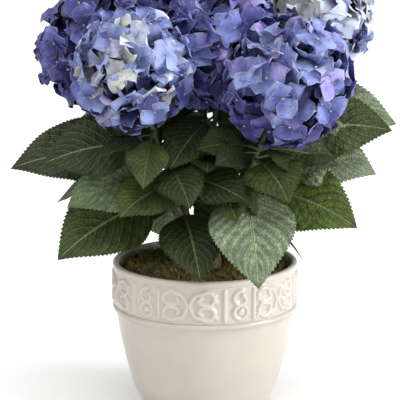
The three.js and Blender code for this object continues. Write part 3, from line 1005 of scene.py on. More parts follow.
def moss_ground_finish(settings):
    """Moss over soil: green in the middle, giving way to bare crumbs beside the pot's wall."""
    finish = Finish("moss_over_soil", 0.95, 0.2)
    sheet = finish.sheet
    coarse = finish.noise(75, 5, 0.65)
    crumbs = finish.noise(420, 4, 0.6)
    soil = sheet.mix(crumbs, shade(settings.soil, 0.3), shade(settings.soil, 2.0))
    green = sheet.mix(crumbs, shade(settings.moss, 0.2), shade(settings.moss, 1.7))
    place = sheet.add("ShaderNodeSeparateXYZ", {0: finish.place()}).outputs
    radius = sheet.math("SQRT", sheet.math(
        "ADD", sheet.math("POWER", place[0], 2.0), sheet.math("POWER", place[1], 2.0)))
    bare = sheet.math("ADD", sheet.ramp(radius, 0.06, 0.088, 0.0, 0.42), coarse)
    finish.paint(sheet.mix(sheet.ramp(bare, 0.52, 0.72, 0, 1), green, soil))
    finish.relief(crumbs, 0.0025)
    return finish.material


def soil_radius(gap):
    """The radius inside the pot at soil level, less a gap."""
    share = (SOIL_TOP - POT["band_height"]) / (POT["height"] - 3 - POT["band_height"])
    inner = POT["band_radius"] + (POT["rim_radius"] - POT["band_radius"]) * share
    return inner - POT["wall"] - gap


def moss_height(x, y):
    """Height of the moss above the soil at a place."""
    lumps = np.sin(x / 9 + 1.3) * np.sin(y / 8) + 0.6 * np.sin(x / 5 - y / 6)
    return MOSS["height"] + MOSS["lumps"] * lumps


def moss_mesh():
    """The moss cushion: a lumpy ring with small tufts, thin at both edges."""
    outer = soil_radius(SEAT_GAP + 0.4)
    low = SOIL_TOP + SEAT_GAP
    radii = np.linspace(MOSS["inner_radius"] + 0.5, outer - 0.3, 44)
    turns = np.linspace(0, 2 * math.pi, 220, endpoint=False)
    x, y = np.outer(radii, np.cos(turns)), np.outer(radii, np.sin(turns))
    tufts = np.sin(x * 1.1 + 2 * np.sin(y * 0.37)) * np.sin(y * 0.93 + 1.7 * np.sin(x * 0.41))
    height = moss_height(x, y) - 0.8 + 0.9 * tufts
    inside = np.clip((radii - radii[0]) / 5, 0, 1) ** 0.5
    outside = np.clip((radii[-1] - radii) / 7, 0, 1) ** 0.6 * 0.62 + 0.38
    height = height * (inside * outside)[:, None]
    top = np.stack([x, y, low + np.maximum(height, 0.6)], axis=-1)
    foot = np.stack([x, y, np.full_like(x, low)], axis=-1)
    rings = np.concatenate([foot[:1], top, foot[-1:]])
    rows, columns = rings.shape[:2]
    cell = np.arange(rows * columns).reshape(rows, columns)
    beside = np.roll(cell, -1, axis=1)
    far, far_beside = np.roll(cell, -1, axis=0), np.roll(beside, -1, axis=0)
    faces = np.stack([cell, far, far_beside, beside], axis=-1).reshape(-1, 4)
    mesh = bpy.data.meshes.new("moss_ground")
    mesh.from_pydata((rings.reshape(-1, 3) * METRES).tolist(), [], faces.tolist())
    mesh.polygons.foreach_set("use_smooth", np.ones(len(faces), bool))
    room = np.zeros(rings.shape[:2], np.float32)
    room[1:-1] = (radii < outer - 6)[:, None]
    mesh.attributes.new("room", "FLOAT", "POINT").data.foreach_set("value", room.ravel())
    return mesh


def fibre_mesh(name, bow):
    """One moss fibre, a bowed and tapering three-sided strip, one unit long."""
    shares = np.array([0, 0.35, 0.7, 1.0])
    half = 0.055 * (1 - shares**2) + 0.008
    ring = np.array([[-1, -0.5], [1, -0.5], [0, 0.9]])
    points = [
        (x * h, y * h + bow * s**2, s * (1 - 0.3 * abs(bow) * s))
        for s, h in zip(shares, half) for x, y in ring
    ]
    faces = [(3 * i + k, 3 * i + (k + 1) % 3, 3 * i + 3 + (k + 1) % 3, 3 * i + 3 + k)
             for i in range(3) for k in range(3)]
    mesh = bpy.data.meshes.new(name)
    mesh.from_pydata(points, [], faces + [(2, 1, 0), (9, 10, 11)])
    return mesh


def fibre_tree(materials):
    """Scatters bowed fibres over the moss and colours them in turn."""
    inputs = {"Shapes": "Collection", "Count": "Int", "Length": "Float", "Seed": "Int"}
    tree, sheet, given = new_tree("Moss fibres", inputs)
    room = named(sheet, "FLOAT", "room")
    area = sheet.add("GeometryNodeInputMeshFaceArea").outputs[0]
    total = sheet.add(
        "GeometryNodeAttributeStatistic", {"Geometry": given["Geometry"], 2: area}, domain="FACE"
    ).outputs["Sum"]
    density = sheet.math("MULTIPLY", sheet.math("DIVIDE", given["Count"], total), room)
    spread = sheet.add(
        "GeometryNodeDistributePointsOnFaces",
        {"Mesh": given["Geometry"], "Density": density, "Seed": given["Seed"]},
    )
    shapes = sheet.add(
        "GeometryNodeCollectionInfo",
        {"Collection": given["Shapes"], "Separate Children": True, "Reset Children": True},
    ).outputs[0]
    tilt = sheet.add(
        "FunctionNodeRandomValue", {0: (-1.25, -1.25, 0), 1: (1.25, 1.25, 6.3)},
        data_type="FLOAT_VECTOR",
    ).outputs[0]
    turn = sheet.add(
        "FunctionNodeRotateRotation", {0: spread.outputs["Rotation"], 1: tilt},
        rotation_space="LOCAL",
    ).outputs[0]
    size = sheet.add("FunctionNodeRandomValue", {2: 0.45, 3: 1.0, "Seed": 5}, data_type="FLOAT")
    scale = sheet.math("MULTIPLY", size.outputs[1], given["Length"])
    fibres = sheet.add("GeometryNodeInstanceOnPoints", {
        "Points": spread.outputs["Points"], "Instance": shapes, "Pick Instance": True,
        "Rotation": turn, "Scale": scale,
    }).outputs[0]
    draw = sheet.add("FunctionNodeRandomValue", {4: 0, 5: 2, "Seed": 9}, data_type="INT").outputs[2]
    dealt = sheet.add(
        "GeometryNodeStoreNamedAttribute", {"Geometry": fibres, "Name": "dealt", "Value": draw},
        data_type="INT", domain="INSTANCE",
    ).outputs[0]
    last = sheet.add("GeometryNodeRealizeInstances", {"Geometry": dealt}).outputs[0]
    for number, material in enumerate(materials):
        last = set_material(sheet, last, material, "dealt", number)
    end_tree(sheet, last)
    return tree


def set_material(sheet, geometry, material, attribute, number):
    """Gives a material to the faces whose attribute holds a number."""
    chosen = sheet.add(
        "FunctionNodeCompare", {2: named(sheet, "INT", attribute), 3: number},
        data_type="INT", operation="EQUAL",
    ).outputs[0]
    sockets = {"Geometry": geometry, "Selection": chosen, "Material": material}
    return sheet.add("GeometryNodeSetMaterial", sockets).outputs[0]


def shape_collection(name, meshes):
    """A collection outside the scene that holds shapes to be repeated."""
    collection = bpy.data.collections.new(name)
    for mesh in meshes:
        collection.objects.link(bpy.data.objects.new(mesh.name, mesh))
    return collection


def drop_collection(collection):
    for thing in list(collection.objects):
        bpy.data.objects.remove(thing)
    bpy.data.collections.remove(collection)


class HYDRANGEA_OT_filling(bpy.types.Operator):
    """Finish the soil and lay moss with loose fibres over it"""

    bl_idname = "hydrangea.filling"
    bl_label = "Soil and moss"

    def execute(self, context):
        settings = context.scene.hydrangea_filling
        soil = frame["nodes"]["potting_soil"]
        soil.material_slots[0].material = soil_finish(settings)
        ground = new_object("moss_ground", moss_mesh())
        ground.data.materials.append(moss_ground_finish(settings))
        fibres = new_object("moss_fibres", ground.data.copy())
        fibres.data.materials.clear()
        shapes = shape_collection(
            "fibre_shapes", [fibre_mesh(f"fibre_{i}", bow) for i, bow in enumerate((0.2, 0.5, -0.4))]
        )
        materials = [
            moss_finish("moss_green", settings.moss, shade(settings.moss, 1.5)[:3]),
            moss_finish("moss_dry", settings.straw, shade(settings.straw, 0.6)[:3]),
            moss_finish("moss_brown", settings.soil, shade(settings.straw, 0.5)[:3]),
        ]
        grow(
            fibres, fibre_tree(materials), shapes=shapes, count=settings.fibres,
            length=settings.fibre_length, seed=11,
        )
        drop_collection(shapes)
        wear(ground, "moss", "moss_cushion")
        wear(fibres, "moss", "moss_cushion")
        return {"FINISHED"}


# ------------------------------------------------------------------ canes and stalks

def stalk_tree(material, scale):
    """Round stalks along lines, each as thick as its points say, with furrows of a given scale."""
    inputs = {"Sides": "Int", "Relief": "Float"}
    tree, sheet, given = new_tree("Stalks", inputs)
    curves = sheet.add("GeometryNodeMeshToCurve", {"Mesh": given["Geometry"]}).outputs[0]
    ring = sheet.add(
        "GeometryNodeCurvePrimitiveCircle", {"Resolution": given["Sides"], "Radius": 1.0}
    ).outputs[0]
    tube = sheet.add("GeometryNodeCurveToMesh", {
        "Curve": curves, "Profile Curve": ring, "Scale": named(sheet, "FLOAT", "thick"),
        "Fill Caps": True,
    }).outputs[0]
    place = sheet.add("GeometryNodeInputPosition").outputs[0]
    stretched = sheet.add(
        "ShaderNodeVectorMath", {0: place, 1: (1.0, 1.0, 0.16)}, operation="MULTIPLY"
    ).outputs[0]
    furrows = sheet.add(
        "ShaderNodeTexNoise", {"Vector": stretched, "Scale": scale, "Detail": 3.0}
    ).outputs[0]
    height = sheet.math("MULTIPLY", sheet.math("SUBTRACT", furrows, 0.5), given["Relief"])
    normal = sheet.add("GeometryNodeInputNormal").outputs[0]
    offset = sheet.add(
        "ShaderNodeVectorMath", {0: normal, "Scale": height}, operation="SCALE"
    ).outputs[0]
    rough = sheet.add("GeometryNodeSetPosition", {"Geometry": tube, "Offset": offset}).outputs[0]
    smooth = sheet.add("GeometryNodeSetShadeSmooth", {"Geometry": rough}).outputs[0]
    done = sheet.add("GeometryNodeRealizeInstances", {"Geometry": smooth}).outputs[0]
    sockets = {"Geometry": done, "Material": material}
    end_tree(sheet, sheet.add("GeometryNodeSetMaterial", sockets).outputs[0])
    return tree


def bump_at(values, middle, spread):
    """A smooth bump of height one about a middle value."""
    return np.exp(-(((values - middle) / spread) ** 2))


def line_mesh(name, lines):
    """Lines of points and thicknesses in mm, as a mesh of edges."""
    points, edges, thick = [], [], []
    for places, widths in lines:
        start = len(points)
        points += (np.asarray(places) * METRES).tolist()
        thick += (np.asarray(widths) * METRES).tolist()
        edges += [(start + i, start + i + 1) for i in range(len(places) - 1)]
    mesh = bpy.data.meshes.new(name)
    mesh.from_pydata(points, edges, [])
    mesh.attributes.new("thick", "FLOAT", "POINT").data.foreach_set("value", thick)
    return mesh


def bark_finish(settings):
    """Grey-brown bark with lengthwise furrows and pale flakes."""
    finish = Finish("cane_bark", 0.88, 0.3)
    sheet = finish.sheet
    grain = finish.noise(520, 4, 0.6, finish.place((1, 1, 0.14)))
    patches = sheet.ramp(finish.noise(120, 3), 0.4, 0.65, 0, 1)
    body = sheet.mix(patches, rgba(settings.bark), shade(settings.bark, 1.7))
    finish.paint(sheet.mix(sheet.ramp(grain, 0.38, 0.6, 0.9, 0.0), body, rgba(settings.furrow)))
    finish.relief(grain, 0.0008)
    return finish.material


def stem_finish(settings):
    """Green stem with faint lengthwise streaks and darker freckles."""
    finish = Finish("green_stem", 0.5, 0.4)
    sheet = finish.sheet
    streaks = finish.noise(300, 3, 0.5, finish.place((1, 1, 0.2)))
    body = sheet.mix(streaks, shade(settings.stem, 0.7), shade(settings.stem, 1.35))
    freckles = sheet.ramp(finish.noise(800, 1), 0.64, 0.7, 0, 0.6)
    finish.paint(sheet.mix(freckles, body, shade(settings.stem, 0.35)))
    finish.relief(streaks, 0.0003)
    return finish.material


def crown_mesh(material):
    """The woody crown: a knuckled stump that flares to the soil and carries the canes' feet."""
    low = SOIL_TOP + SEAT_GAP
    rows, columns = 26, 72
    shares = np.linspace(0, 1, rows)
    turns = np.linspace(0, 2 * math.pi, columns, endpoint=False)
    waist = CROWN["neck_radius"]
    radii = [CROWN["flare_radius"], waist + 1, waist, waist - 1.3]
    steps = np.interp(shares, [0, 0.3, 0.7, 1], radii)
    lobes = 1 + 0.05 * np.cos(turns * 7 + 0.4)[None, :] * shares[:, None]
    lobes += (1 - shares)[:, None] * 0.1 * np.cos(turns * 3 + math.radians(40))[None, :]
    bark = 0.35 * np.sin(turns * 31)[None, :] * np.sin(shares * 23)[:, None]
    radius = steps[:, None] * lobes + bark
    x, y = radius * np.cos(turns), radius * np.sin(turns)
    z = low + shares[:, None] * (CROWN["height"] - 0.2) + 0 * x
    points = np.stack([x, y, z], axis=-1).reshape(-1, 3)
    dome = np.stack([x[-1] * 0.55, y[-1] * 0.55, z[-1] + 0.1], axis=-1)
    points = np.concatenate([points, dome, [[0, 0, low + CROWN["height"]], [0, 0, low]]])
    cell = np.arange(rows * columns + columns).reshape(rows + 1, columns)
    beside = np.roll(cell, -1, axis=1)
    faces = np.stack([cell[:-1], beside[:-1], beside[1:], cell[1:]], axis=-1).reshape(-1, 4).tolist()
    top, foot = len(points) - 2, len(points) - 1
    for j in range(columns):
        k = (j + 1) % columns
        faces.append((rows * columns + j, rows * columns + k, top))
        faces.append((k, j, foot))
    mesh = bpy.data.meshes.new("stump")
    mesh.from_pydata((points * METRES).tolist(), [], faces)
    mesh.polygons.foreach_set("use_smooth", np.ones(len(faces), bool))
    mesh.materials.append(material)
    return mesh


class HYDRANGEA_OT_wood(bpy.types.Operator):
    """Make the woody crown and the lower, barked part of each cane"""

    bl_idname = "hydrangea.wood"
    bl_label = "Crown and canes"

    def execute(self, context):
        settings = context.scene.hydrangea_stems
        bark = bark_finish(settings)
        crown = new_object("woody_stump", crown_mesh(bark))
        wear(crown, "bark", "stem_crown")
        top = CANE["leafy_from"]
        lines = []
        for cane in grown_canes():
            shares = np.linspace(0, top + 0.004, 60)
            knuckles = 0.12 * bump_at(shares, 0.13, 0.012)
            widths = np.interp(shares, [0, top], [CANE["foot_width"], CANE["leafy_width"]])
            places = [cane.curve.point(share) for share in shares]
            places[0] = places[0] - UP * 0.2
            lines.append((places, widths * (1 + knuckles)))
        canes = new_object("woody_canes", line_mesh("woody_canes", lines))
        grow(canes, stalk_tree(bark, 900), sides=16, relief=settings.bark_depth * 2)
        wear(canes, "bark", *(f"cane_{cane.name}" for cane in CANES))
        return {"FINISHED"}


def stalk_lines(cane):
    """The green stem up into the flower head, and each leaf's stalk run on as its midrib."""
    shares = np.linspace(CANE["leafy_from"], 0.985, 90)
    widths = np.interp(
        shares, [CANE["leafy_from"], CANE["stalk_from"], 1],
        [CANE["leafy_width"], CANE["stalk_width"] * 0.96, CANE["top_width"] * 0.8],
    )
    for pair in cane.pairs:
        widths = widths * (1 + 0.22 * bump_at(shares, pair.share, 0.009))
    lines = [([cane.curve.point(share) for share in shares], widths)]
    petiole = LEAF["petiole"]
    for leaf in cane.leaves:
        under_blade = petiole + leaf.length * np.linspace(0.04, 0.86, 18)
        along = np.concatenate([np.linspace(1.0, petiole, 9), under_blade])
        centre, _, normal = leaf_frames(leaf, along)
        rib = np.interp(along, [0, 6, petiole, leaf.reach], [2.3, 1.5, 1.0, 0.15])
        sink = np.interp(along, [petiole * 0.8, petiole * 1.3], [0, 1.0]) * (rib + 0.55)
        lines.append((centre - normal * sink[:, None], rib))
    return lines


# ------------------------------------------------------------------ leaves

# Leaf greens; those for shaded, half-lit and fully lit leaves are painted shade and painted light.
TINTS = ["deep", "mid", "dull", "pale", "young"]
UNDERSIDE = len(TINTS)
VEIN_SLANT = 0.36
VEIN_START = 0.35


def vein_phase(share, across, pairs):
    """Counts side veins from the base: a whole number lies on a vein."""
    return pairs * (share - VEIN_SLANT * np.abs(across)) + VEIN_START


def teeth_of(leaf, settings):
    """Teeth on each side of a leaf, fewer on a small one."""
    return max(10, round(settings.teeth * leaf.length / 100))


def leaf_rows(teeth):
    """Shares of a blade's length for its rows, each with its place on a tooth."""
    rows = [(0.0, 0.5), (0.02, 0.5), (0.045, 0.5)]
    for tooth in range(teeth):
        start = 0.06 + 0.91 * tooth / teeth
        rows += [(start + 0.91 * phase / teeth, phase) for phase in (0.0, 0.55, 0.9)]
    rows += [(0.975, 0.5), (0.988, 0.5), (1.0, 0.5)]
    return np.array(rows).T


def add_leaf(growth, leaf, settings, cell, skin, seed):
    """Adds one leaf to a growth: a thin toothed and quilted blade, folded along its midrib."""
    shares, phases = leaf_rows(teeth_of(leaf, settings))
    across = np.array([-1, -0.9, -0.72, -0.52, -0.32, -0.13, 0, 0.13, 0.32, 0.52, 0.72, 0.9, 1])
    half = np.maximum(blade_half_width(shares, leaf.length), 0.35)
    s, t = np.meshgrid(shares, across, indexing="ij")
    width = half[:, None] * np.ones_like(t)
    tooth = np.minimum(1.5, half * 0.09)[:, None] * (phases[:, None] - 0.45)
    margin = np.clip((np.abs(t) - 0.8) / 0.2, 0, 1)
    reach = np.clip((np.abs(t) - 0.5) / 0.5, 0, 1)
    out = t * (width - 0.6 * reach) + np.sign(t) * tooth * 1.5 * margin
    forward = 0.9 * tooth * margin
    size = width / (leaf.length * LEAF["width_ratio"])
    phase = vein_phase(s, t, settings.vein_pairs)
    quilt = np.abs(np.sin(np.pi * phase)) ** 0.75
    fading = (1 - np.abs(t) ** 5) * np.minimum(1, np.abs(t) * 5)
    puckers = settings.quilting / METRES * size * quilt * fading
    height = LEAF["fold"] * np.sqrt((width * t) ** 2 + 2.0) - LEAF["fold"] * 1.4
    waves = np.sin(2 * np.pi * (2.4 * s + scatter(seed, 0, 1)) + np.sign(t) * 1.3)
    height = height + puckers * 1.1 - 0.5 + 1.5 * size * np.abs(t) ** 2.5 * waves
    height = height - 0.07 * width * np.abs(t) ** 3
    height = height - 0.45 * bump_at(t, 0, 0.06) * size
    along = LEAF["petiole"] + s * leaf.length + forward
    centre, side, normal = leaf_frames(leaf, along.ravel())
    top = centre + side * out.reshape(-1, 1) + normal * height.reshape(-1, 1)
    thick = settings.sheet / METRES
    bottom = top - normal * thick
    faces, lower = sheet_faces(*s.shape)
    square = np.stack([s.ravel(), (t.ravel() + 1) / 2], axis=1)
    squares = np.concatenate([square, square])[faces]
    skins = np.where(lower, UNDERSIDE, skin)
    growth.add(np.concatenate([top, bottom]), faces, squares, cell * 2 + lower, skins)


def leaf_finish(name, blade, settings, under=False):
    """A leaf's face: mottled green, paler veins, fine wrinkles between them, and painted light on the
    quilting's crests with painted shade in its grooves.
    """
    finish = Finish(name, 0.7 if under else 0.42, 0.2 if under else 0.24)
    sheet = finish.sheet
    uv = sheet.add("ShaderNodeUVMap", uv_map="pattern").outputs[0]
    place = sheet.add("ShaderNodeSeparateXYZ", {0: uv}).outputs
    across = sheet.math("ABSOLUTE", sheet.math("MULTIPLY_ADD", place[1], 2.0, -1.0))
    slant = sheet.math("MULTIPLY", across, -VEIN_SLANT)
    upwards = sheet.math("ADD", place[0], slant)
    phase = sheet.math("MULTIPLY_ADD", upwards, float(settings.vein_pairs), VEIN_START)
    past = sheet.math("FRACT", sheet.math("ADD", phase, 0.5))
    nearest = sheet.math("ABSOLUTE", sheet.math("SUBTRACT", past, 0.5))
    side_vein = sheet.ramp(nearest, 0.015, 0.08, 0.2, 0.0)
    side_vein = sheet.math("MULTIPLY", side_vein, sheet.ramp(across, 0.75, 1.0, 1.0, 0.2))
    midrib = sheet.ramp(across, 0.012, 0.034, 0.85, 0.0)
    veins = sheet.math("MAXIMUM", midrib, side_vein)
    stretch = sheet.add(
        "ShaderNodeVectorMath", {0: uv, 1: (1.0, 0.62, 1.0)}, operation="MULTIPLY"
    ).outputs[0]
    net = sheet.add(
        "ShaderNodeTexVoronoi", {"Vector": stretch, "Scale": 31.0}, feature="DISTANCE_TO_EDGE"
    ).outputs["Distance"]
    wrinkles = sheet.ramp(net, 0.0, 0.22, 0.0, 1.0)
    mottle = sheet.ramp(finish.noise(70, 4), 0.3, 0.7, 0, 1)
    body = sheet.mix(mottle, shade(blade, 0.6), shade(blade, 1.42))
    body = sheet.mix(sheet.ramp(net, 0.0, 0.2, 0.3 if under else 0.7, 0.0), body, shade(blade, 0.36))
    # Painted light and shade on the quilting: a lit crest on each bulge between side veins and a
    # shaded groove before the next vein.
    ripple = sheet.math("FRACT", phase)
    rising = sheet.ramp(ripple, 0.1, 0.35, 0.0, 1.0)
    falling = sheet.ramp(ripple, 0.35, 0.6, 0.35, 0.0)
    patches = sheet.ramp(finish.noise(55, 2), 0.3, 0.7, 0.2, 1.0)
    painted_crest_light = sheet.math("MULTIPLY", sheet.math("MULTIPLY", rising, falling), patches)
    painted_groove_shade = sheet.ramp(ripple, 0.7, 0.92, 0.0, 0.62)
    body = sheet.mix(painted_groove_shade, body, shade(blade, 0.36))
    body = sheet.mix(painted_crest_light, body, shade(blade, 2.5))
    finish.paint(sheet.mix(sheet.math("MULTIPLY", veins, 0.9), body, rgba(settings.vein)))
    lines = sheet.math("MULTIPLY", veins, 0.8 if under else -0.8)
    finish.relief(sheet.math("ADD", wrinkles, lines), 0.0006, 0.7)
    return finish.material


class HYDRANGEA_OT_shoots(bpy.types.Operator):
    """Make the leaves of each shoot and the green stalks that carry them"""

    bl_idname = "hydrangea.shoots"
    bl_label = "Leaves and green stalks"

    def execute(self, context):
        settings = context.scene.hydrangea_leaves
        stems = context.scene.hydrangea_stems
        skins = [leaf_finish(f"leaf_{t}", getattr(settings, t), settings) for t in TINTS]
        skins.append(leaf_finish("leaf_underside", settings.underside, settings, under=True))
        green = stalk_tree(stem_finish(stems), 300)
        for number, cane in enumerate(grown_canes()):
            growth = Growth()
            for i, leaf in enumerate(cane.leaves):
                add_leaf(growth, leaf, settings, i, TINTS.index(leaf.tint), number * 20 + i)
            leaves = new_object(f"leaves_{cane.name}", growth.mesh(f"leaves_{cane.name}", skins))
            wear(leaves, "leaf", f"leafy_shoot_{cane.name}")
            stalks = new_object(f"stalks_{cane.name}", line_mesh("stalks", stalk_lines(cane)))
            grow(stalks, green, sides=9, relief=0.0002)
            wear(stalks, "leaf", f"leafy_shoot_{cane.name}")
        return {"FINISHED"}


# ------------------------------------------------------------------ blossom

# Florets follow each other by the golden turn, at these shares of a head's radius in turn.
GOLDEN_TURN = 137.508
LAYERS = (0.86, 0.73, 0.92)
FLORET_SHAPES = 10
FLORET_CELLS = 10
STRAY_SHARE = 0.45
SHOWN_SIDE = (0.12, -1.0, 0.42)

# Each tone with the tone it drifts into and how strongly its foot and veins show; the darker foot is
# partly painted shade.
TONES = {
    "sky": ("periwinkle", 0.8),
    "periwinkle": ("sky", 1.0),
    "violet": ("periwinkle", 1.0),
    "deep": ("violet", 1.0),
    "lilac": ("periwinkle", 0.8),
    "cream": ("sky", 0.4),
    "white": ("sky", 0.4),
    "mint": ("cream", 0.4),
}


def add_sepal(growth, turn, seed, open_out, cell):
    """Adds one sepal, a broad pointed diamond, cupped, creased and ruffled, one unit long."""
    shares = np.array([0.0, 0.18, 0.38, 0.58, 0.77, 0.92, 1.0])
    across = np.array([-1, -0.5, 0, 0.5, 1])
    s, t = np.meshgrid(shares, across, indexing="ij")
    full = scatter(seed + 1, 0.44, 0.57)
    half = full * np.maximum(np.sin(np.pi * shares**0.92).clip(0) ** 0.8, 0.09)
    half[-1] = 0.02
    ragged = 1 + 0.09 * np.sin(2 * np.pi * (2.3 * s + scatter(seed + 9, 0, 1)) + 1.9 * t)
    width = half[:, None] * t * ragged
    cup = scatter(seed + 2, -0.3, 0.62) + open_out
    fold = scatter(seed + 3, -0.5, 0.55)
    twist = scatter(seed + 8, -0.34, 0.34)
    waves = np.sin(2 * np.pi * (1.7 * s + scatter(seed + 4, 0, 1)) + 2.6 * t)
    crease = 0.05 * np.sin(2 * np.pi * (1.2 * t + scatter(seed + 11, 0, 1)) + 3 * s)
    height = 0.05 + cup * s**1.7 + fold * np.abs(t) ** 1.2 * s * (1.1 - 0.5 * s)
    height = height + twist * t * s + 0.12 * waves * np.abs(t) * s + crease * s
    height = height - scatter(seed + 5, -0.16, 0.34) * s**4
    along = 0.03 + s * scatter(seed + 6, 0.86, 1.08) - 0.05 * t**2
    spin = math.radians(turn)
    x = along * math.cos(spin) - width * math.sin(spin)
    y = along * math.sin(spin) + width * math.cos(spin)
    top = np.stack([x, y, height], axis=-1).reshape(-1, 3)
    faces, lower = sheet_faces(*s.shape)
    square = np.stack([s.ravel(), (t.ravel() + 1) / 2], axis=1)
    squares = np.concatenate([square, square])[faces]
    growth.add(np.concatenate([top, top - UP * 0.014]), faces, squares, cell + lower, 0)


def add_round(growth, radii, heights, sides, cell, skin):
    """Adds a turned form about the floret's axis, closed at both ends by tiny rings."""
    turns = np.arange(sides) * 2 * math.pi / sides
    rings = [np.stack([r * np.cos(turns), r * np.sin(turns), h + 0 * turns], axis=1)
             for r, h in zip(radii, heights)]
    faces, squares = [], []
    rows = len(radii) - 1
    for i in range(rows):
        y0, y1 = i / rows, (i + 1) / rows
        for j in range(sides):
            k = (j + 1) % sides
            faces.append((i * sides + j, i * sides + k, (i + 1) * sides + k, (i + 1) * sides + j))
            x0, x1 = j / sides, (j + 1) / sides
            squares.append([(x0, y0), (x1, y0), (x1, y1), (x0, y1)])
    growth.add(np.concatenate(rings), np.array(faces), np.array(squares), cell, skin)


def floret_mesh(number):
    """One floret: four sepals in two crossed pairs, a bead in the middle and a short stalk."""
    growth = Growth()
    for k in range(4):
        seed = number * 31 + k * 7
        add_sepal(growth, k * 90 + scatter(seed, -9, 9), seed, 0.05 * (k % 2), k * 2)
    add_round(growth, [0.002, 0.05, 0.064, 0.042, 0.002], [0.035, 0.045, 0.085, 0.13, 0.145], 7, 8, 1)
    add_round(growth, [0.03, 0.034, 0.05, 0.085], [-1.05, -0.6, -0.1, 0.05], 5, 9, 2)
    mesh = growth.mesh(f"floret_{number}", [])
    parts = np.concatenate(growth.skins).astype(np.int32)
    cells = np.concatenate(growth.cells).astype(np.int32)
    stray = [
        int(cell < 8 and scatter(number * 31 + cell // 2, 0, 1) < STRAY_SHARE) for cell in cells
    ]
    for name, values in (("part", parts), ("cell", cells), ("stray", stray)):
        mesh.attributes.new(name, "INT", "FACE").data.foreach_set("value", values)
    mesh.transform(Matrix.Scale(1 / METRES, 4))
    mesh.uv_layers.remove(mesh.uv_layers["OFBake"])
    return mesh


def blossom_tree(petals, bead, stalk):
    """Sets florets on a head's points, each turned and sized as its point says."""
    tree, sheet, given = new_tree("Blossom", {"Shapes": "Collection"})
    shapes = sheet.add(
        "GeometryNodeCollectionInfo",
        {"Collection": given["Shapes"], "Separate Children": True, "Reset Children": True},
    ).outputs[0]
    points = sheet.add("GeometryNodeMeshToPoints", {"Mesh": given["Geometry"]}).outputs[0]
    turn = sheet.add(
        "FunctionNodeEulerToRotation", {0: named(sheet, "FLOAT_VECTOR", "turn")}
    ).outputs[0]
    florets = sheet.add("GeometryNodeInstanceOnPoints", {
        "Points": points, "Instance": shapes, "Pick Instance": True,
        "Instance Index": named(sheet, "INT", "shape"), "Rotation": turn,
        "Scale": named(sheet, "FLOAT", "size"),
    }).outputs[0]
    real = sheet.add("GeometryNodeRealizeInstances", {"Geometry": florets}).outputs[0]
    own, second = named(sheet, "INT", "tone"), named(sheet, "INT", "second")
    change = sheet.math("SUBTRACT", second, own)
    worn = sheet.math("MULTIPLY_ADD", named(sheet, "INT", "stray"), change, own)
    last = sheet.add(
        "GeometryNodeStoreNamedAttribute", {"Geometry": real, "Name": "worn", "Value": worn},
        data_type="INT", domain="FACE",
    ).outputs[0]
    for number, material in enumerate(petals):
        last = set_material(sheet, last, material, "worn", number)
    last = set_material(sheet, last, bead, "part", 1)
    last = set_material(sheet, last, stalk, "part", 2)
    end_tree(sheet, last)
    return tree


def deal(cane, ray, seed):
    """Deals a tone to a floret: one set for those facing front, another for the rest."""
    facing = ray @ unit(np.array(SHOWN_SIDE))
    tones = cane.face_tones if facing > 0.42 + scatter(seed + 9, -0.2, 0.2) else cane.edge_tones
    drawn = scatter(seed + 3, 0, sum(tones.values()))
    for name, weight in tones.items():
        drawn -= weight
        if drawn <= 0:
            break
    return list(TONES).index(name)


def turned_to(axis, spin):
    """Euler angles that turn up to an axis after a spin in degrees about it."""
    tilt = Vector((0, 0, 1)).rotation_difference(Vector(axis)).to_matrix()
    return (tilt @ Matrix.Rotation(math.radians(spin), 3, "Z")).to_euler()


def head_points(cane, index, settings):
    """A mesh of points on a head's ball, each with its floret's turn, size, shape and tone."""
    lowest = math.cos(settings.droop)
    axis = Vector(cane.curve.tangent(1.0))
    lean = Vector((0, 0, 1)).rotation_difference(axis)
    places, turns, sizes, shapes, tones, seconds = [], [], [], [], [], []
    for i in range(settings.florets):
        seed = index * 100 + i
        height = 1 - (i + 0.5) * (1 - lowest) / settings.florets
        azimuth = cane.foot + cane.spin + i * GOLDEN_TURN + scatter(seed + 51, -7, 7)
        ray = heading(azimuth) * math.sqrt(1 - height**2)
        ray[2] = height
        ray = np.array(lean @ Vector(ray))
        sway = np.array([scatter(seed + k, -1, 1) for k in (61, 62, 63)])
        sway -= ray * (sway @ ray)
        facing = unit(ray + sway * 0.85)
        depth = LAYERS[i % len(LAYERS)] + scatter(seed + 64, -0.05, 0.05)
        young = scatter(seed + 70, 0, 1) < 0.08
        tone_number = deal(cane, ray, seed)
        places.append(ray * cane.radius * depth * METRES)
        turns.append(tuple(turned_to(facing, scatter(seed + 7, 0, 90))))
        growth = (0.6 if young else 1) * (cane.radius / 62) ** 0.5
        sizes.append(settings.sepal * scatter(seed, 0.86, 1.1) * growth)
        shapes.append(int(scatter(seed + 17, 0, FLORET_SHAPES - 0.001)))
        tones.append(tone_number)
        seconds.append(deal(cane, ray, seed + 37))
    mesh = bpy.data.meshes.new("head_points")
    mesh.from_pydata([tuple(p) for p in places], [], [])
    mesh.attributes.new("turn", "FLOAT_VECTOR", "POINT").data.foreach_set("vector", np.ravel(turns))
    mesh.attributes.new("size", "FLOAT", "POINT").data.foreach_set("value", sizes)
    for name, values in (
        ("shape", shapes), ("tone", tones), ("second", seconds), ("floret", range(len(places))),
    ):
        mesh.attributes.new(name, "INT", "POINT").data.foreach_set("value", list(values))
    return mesh


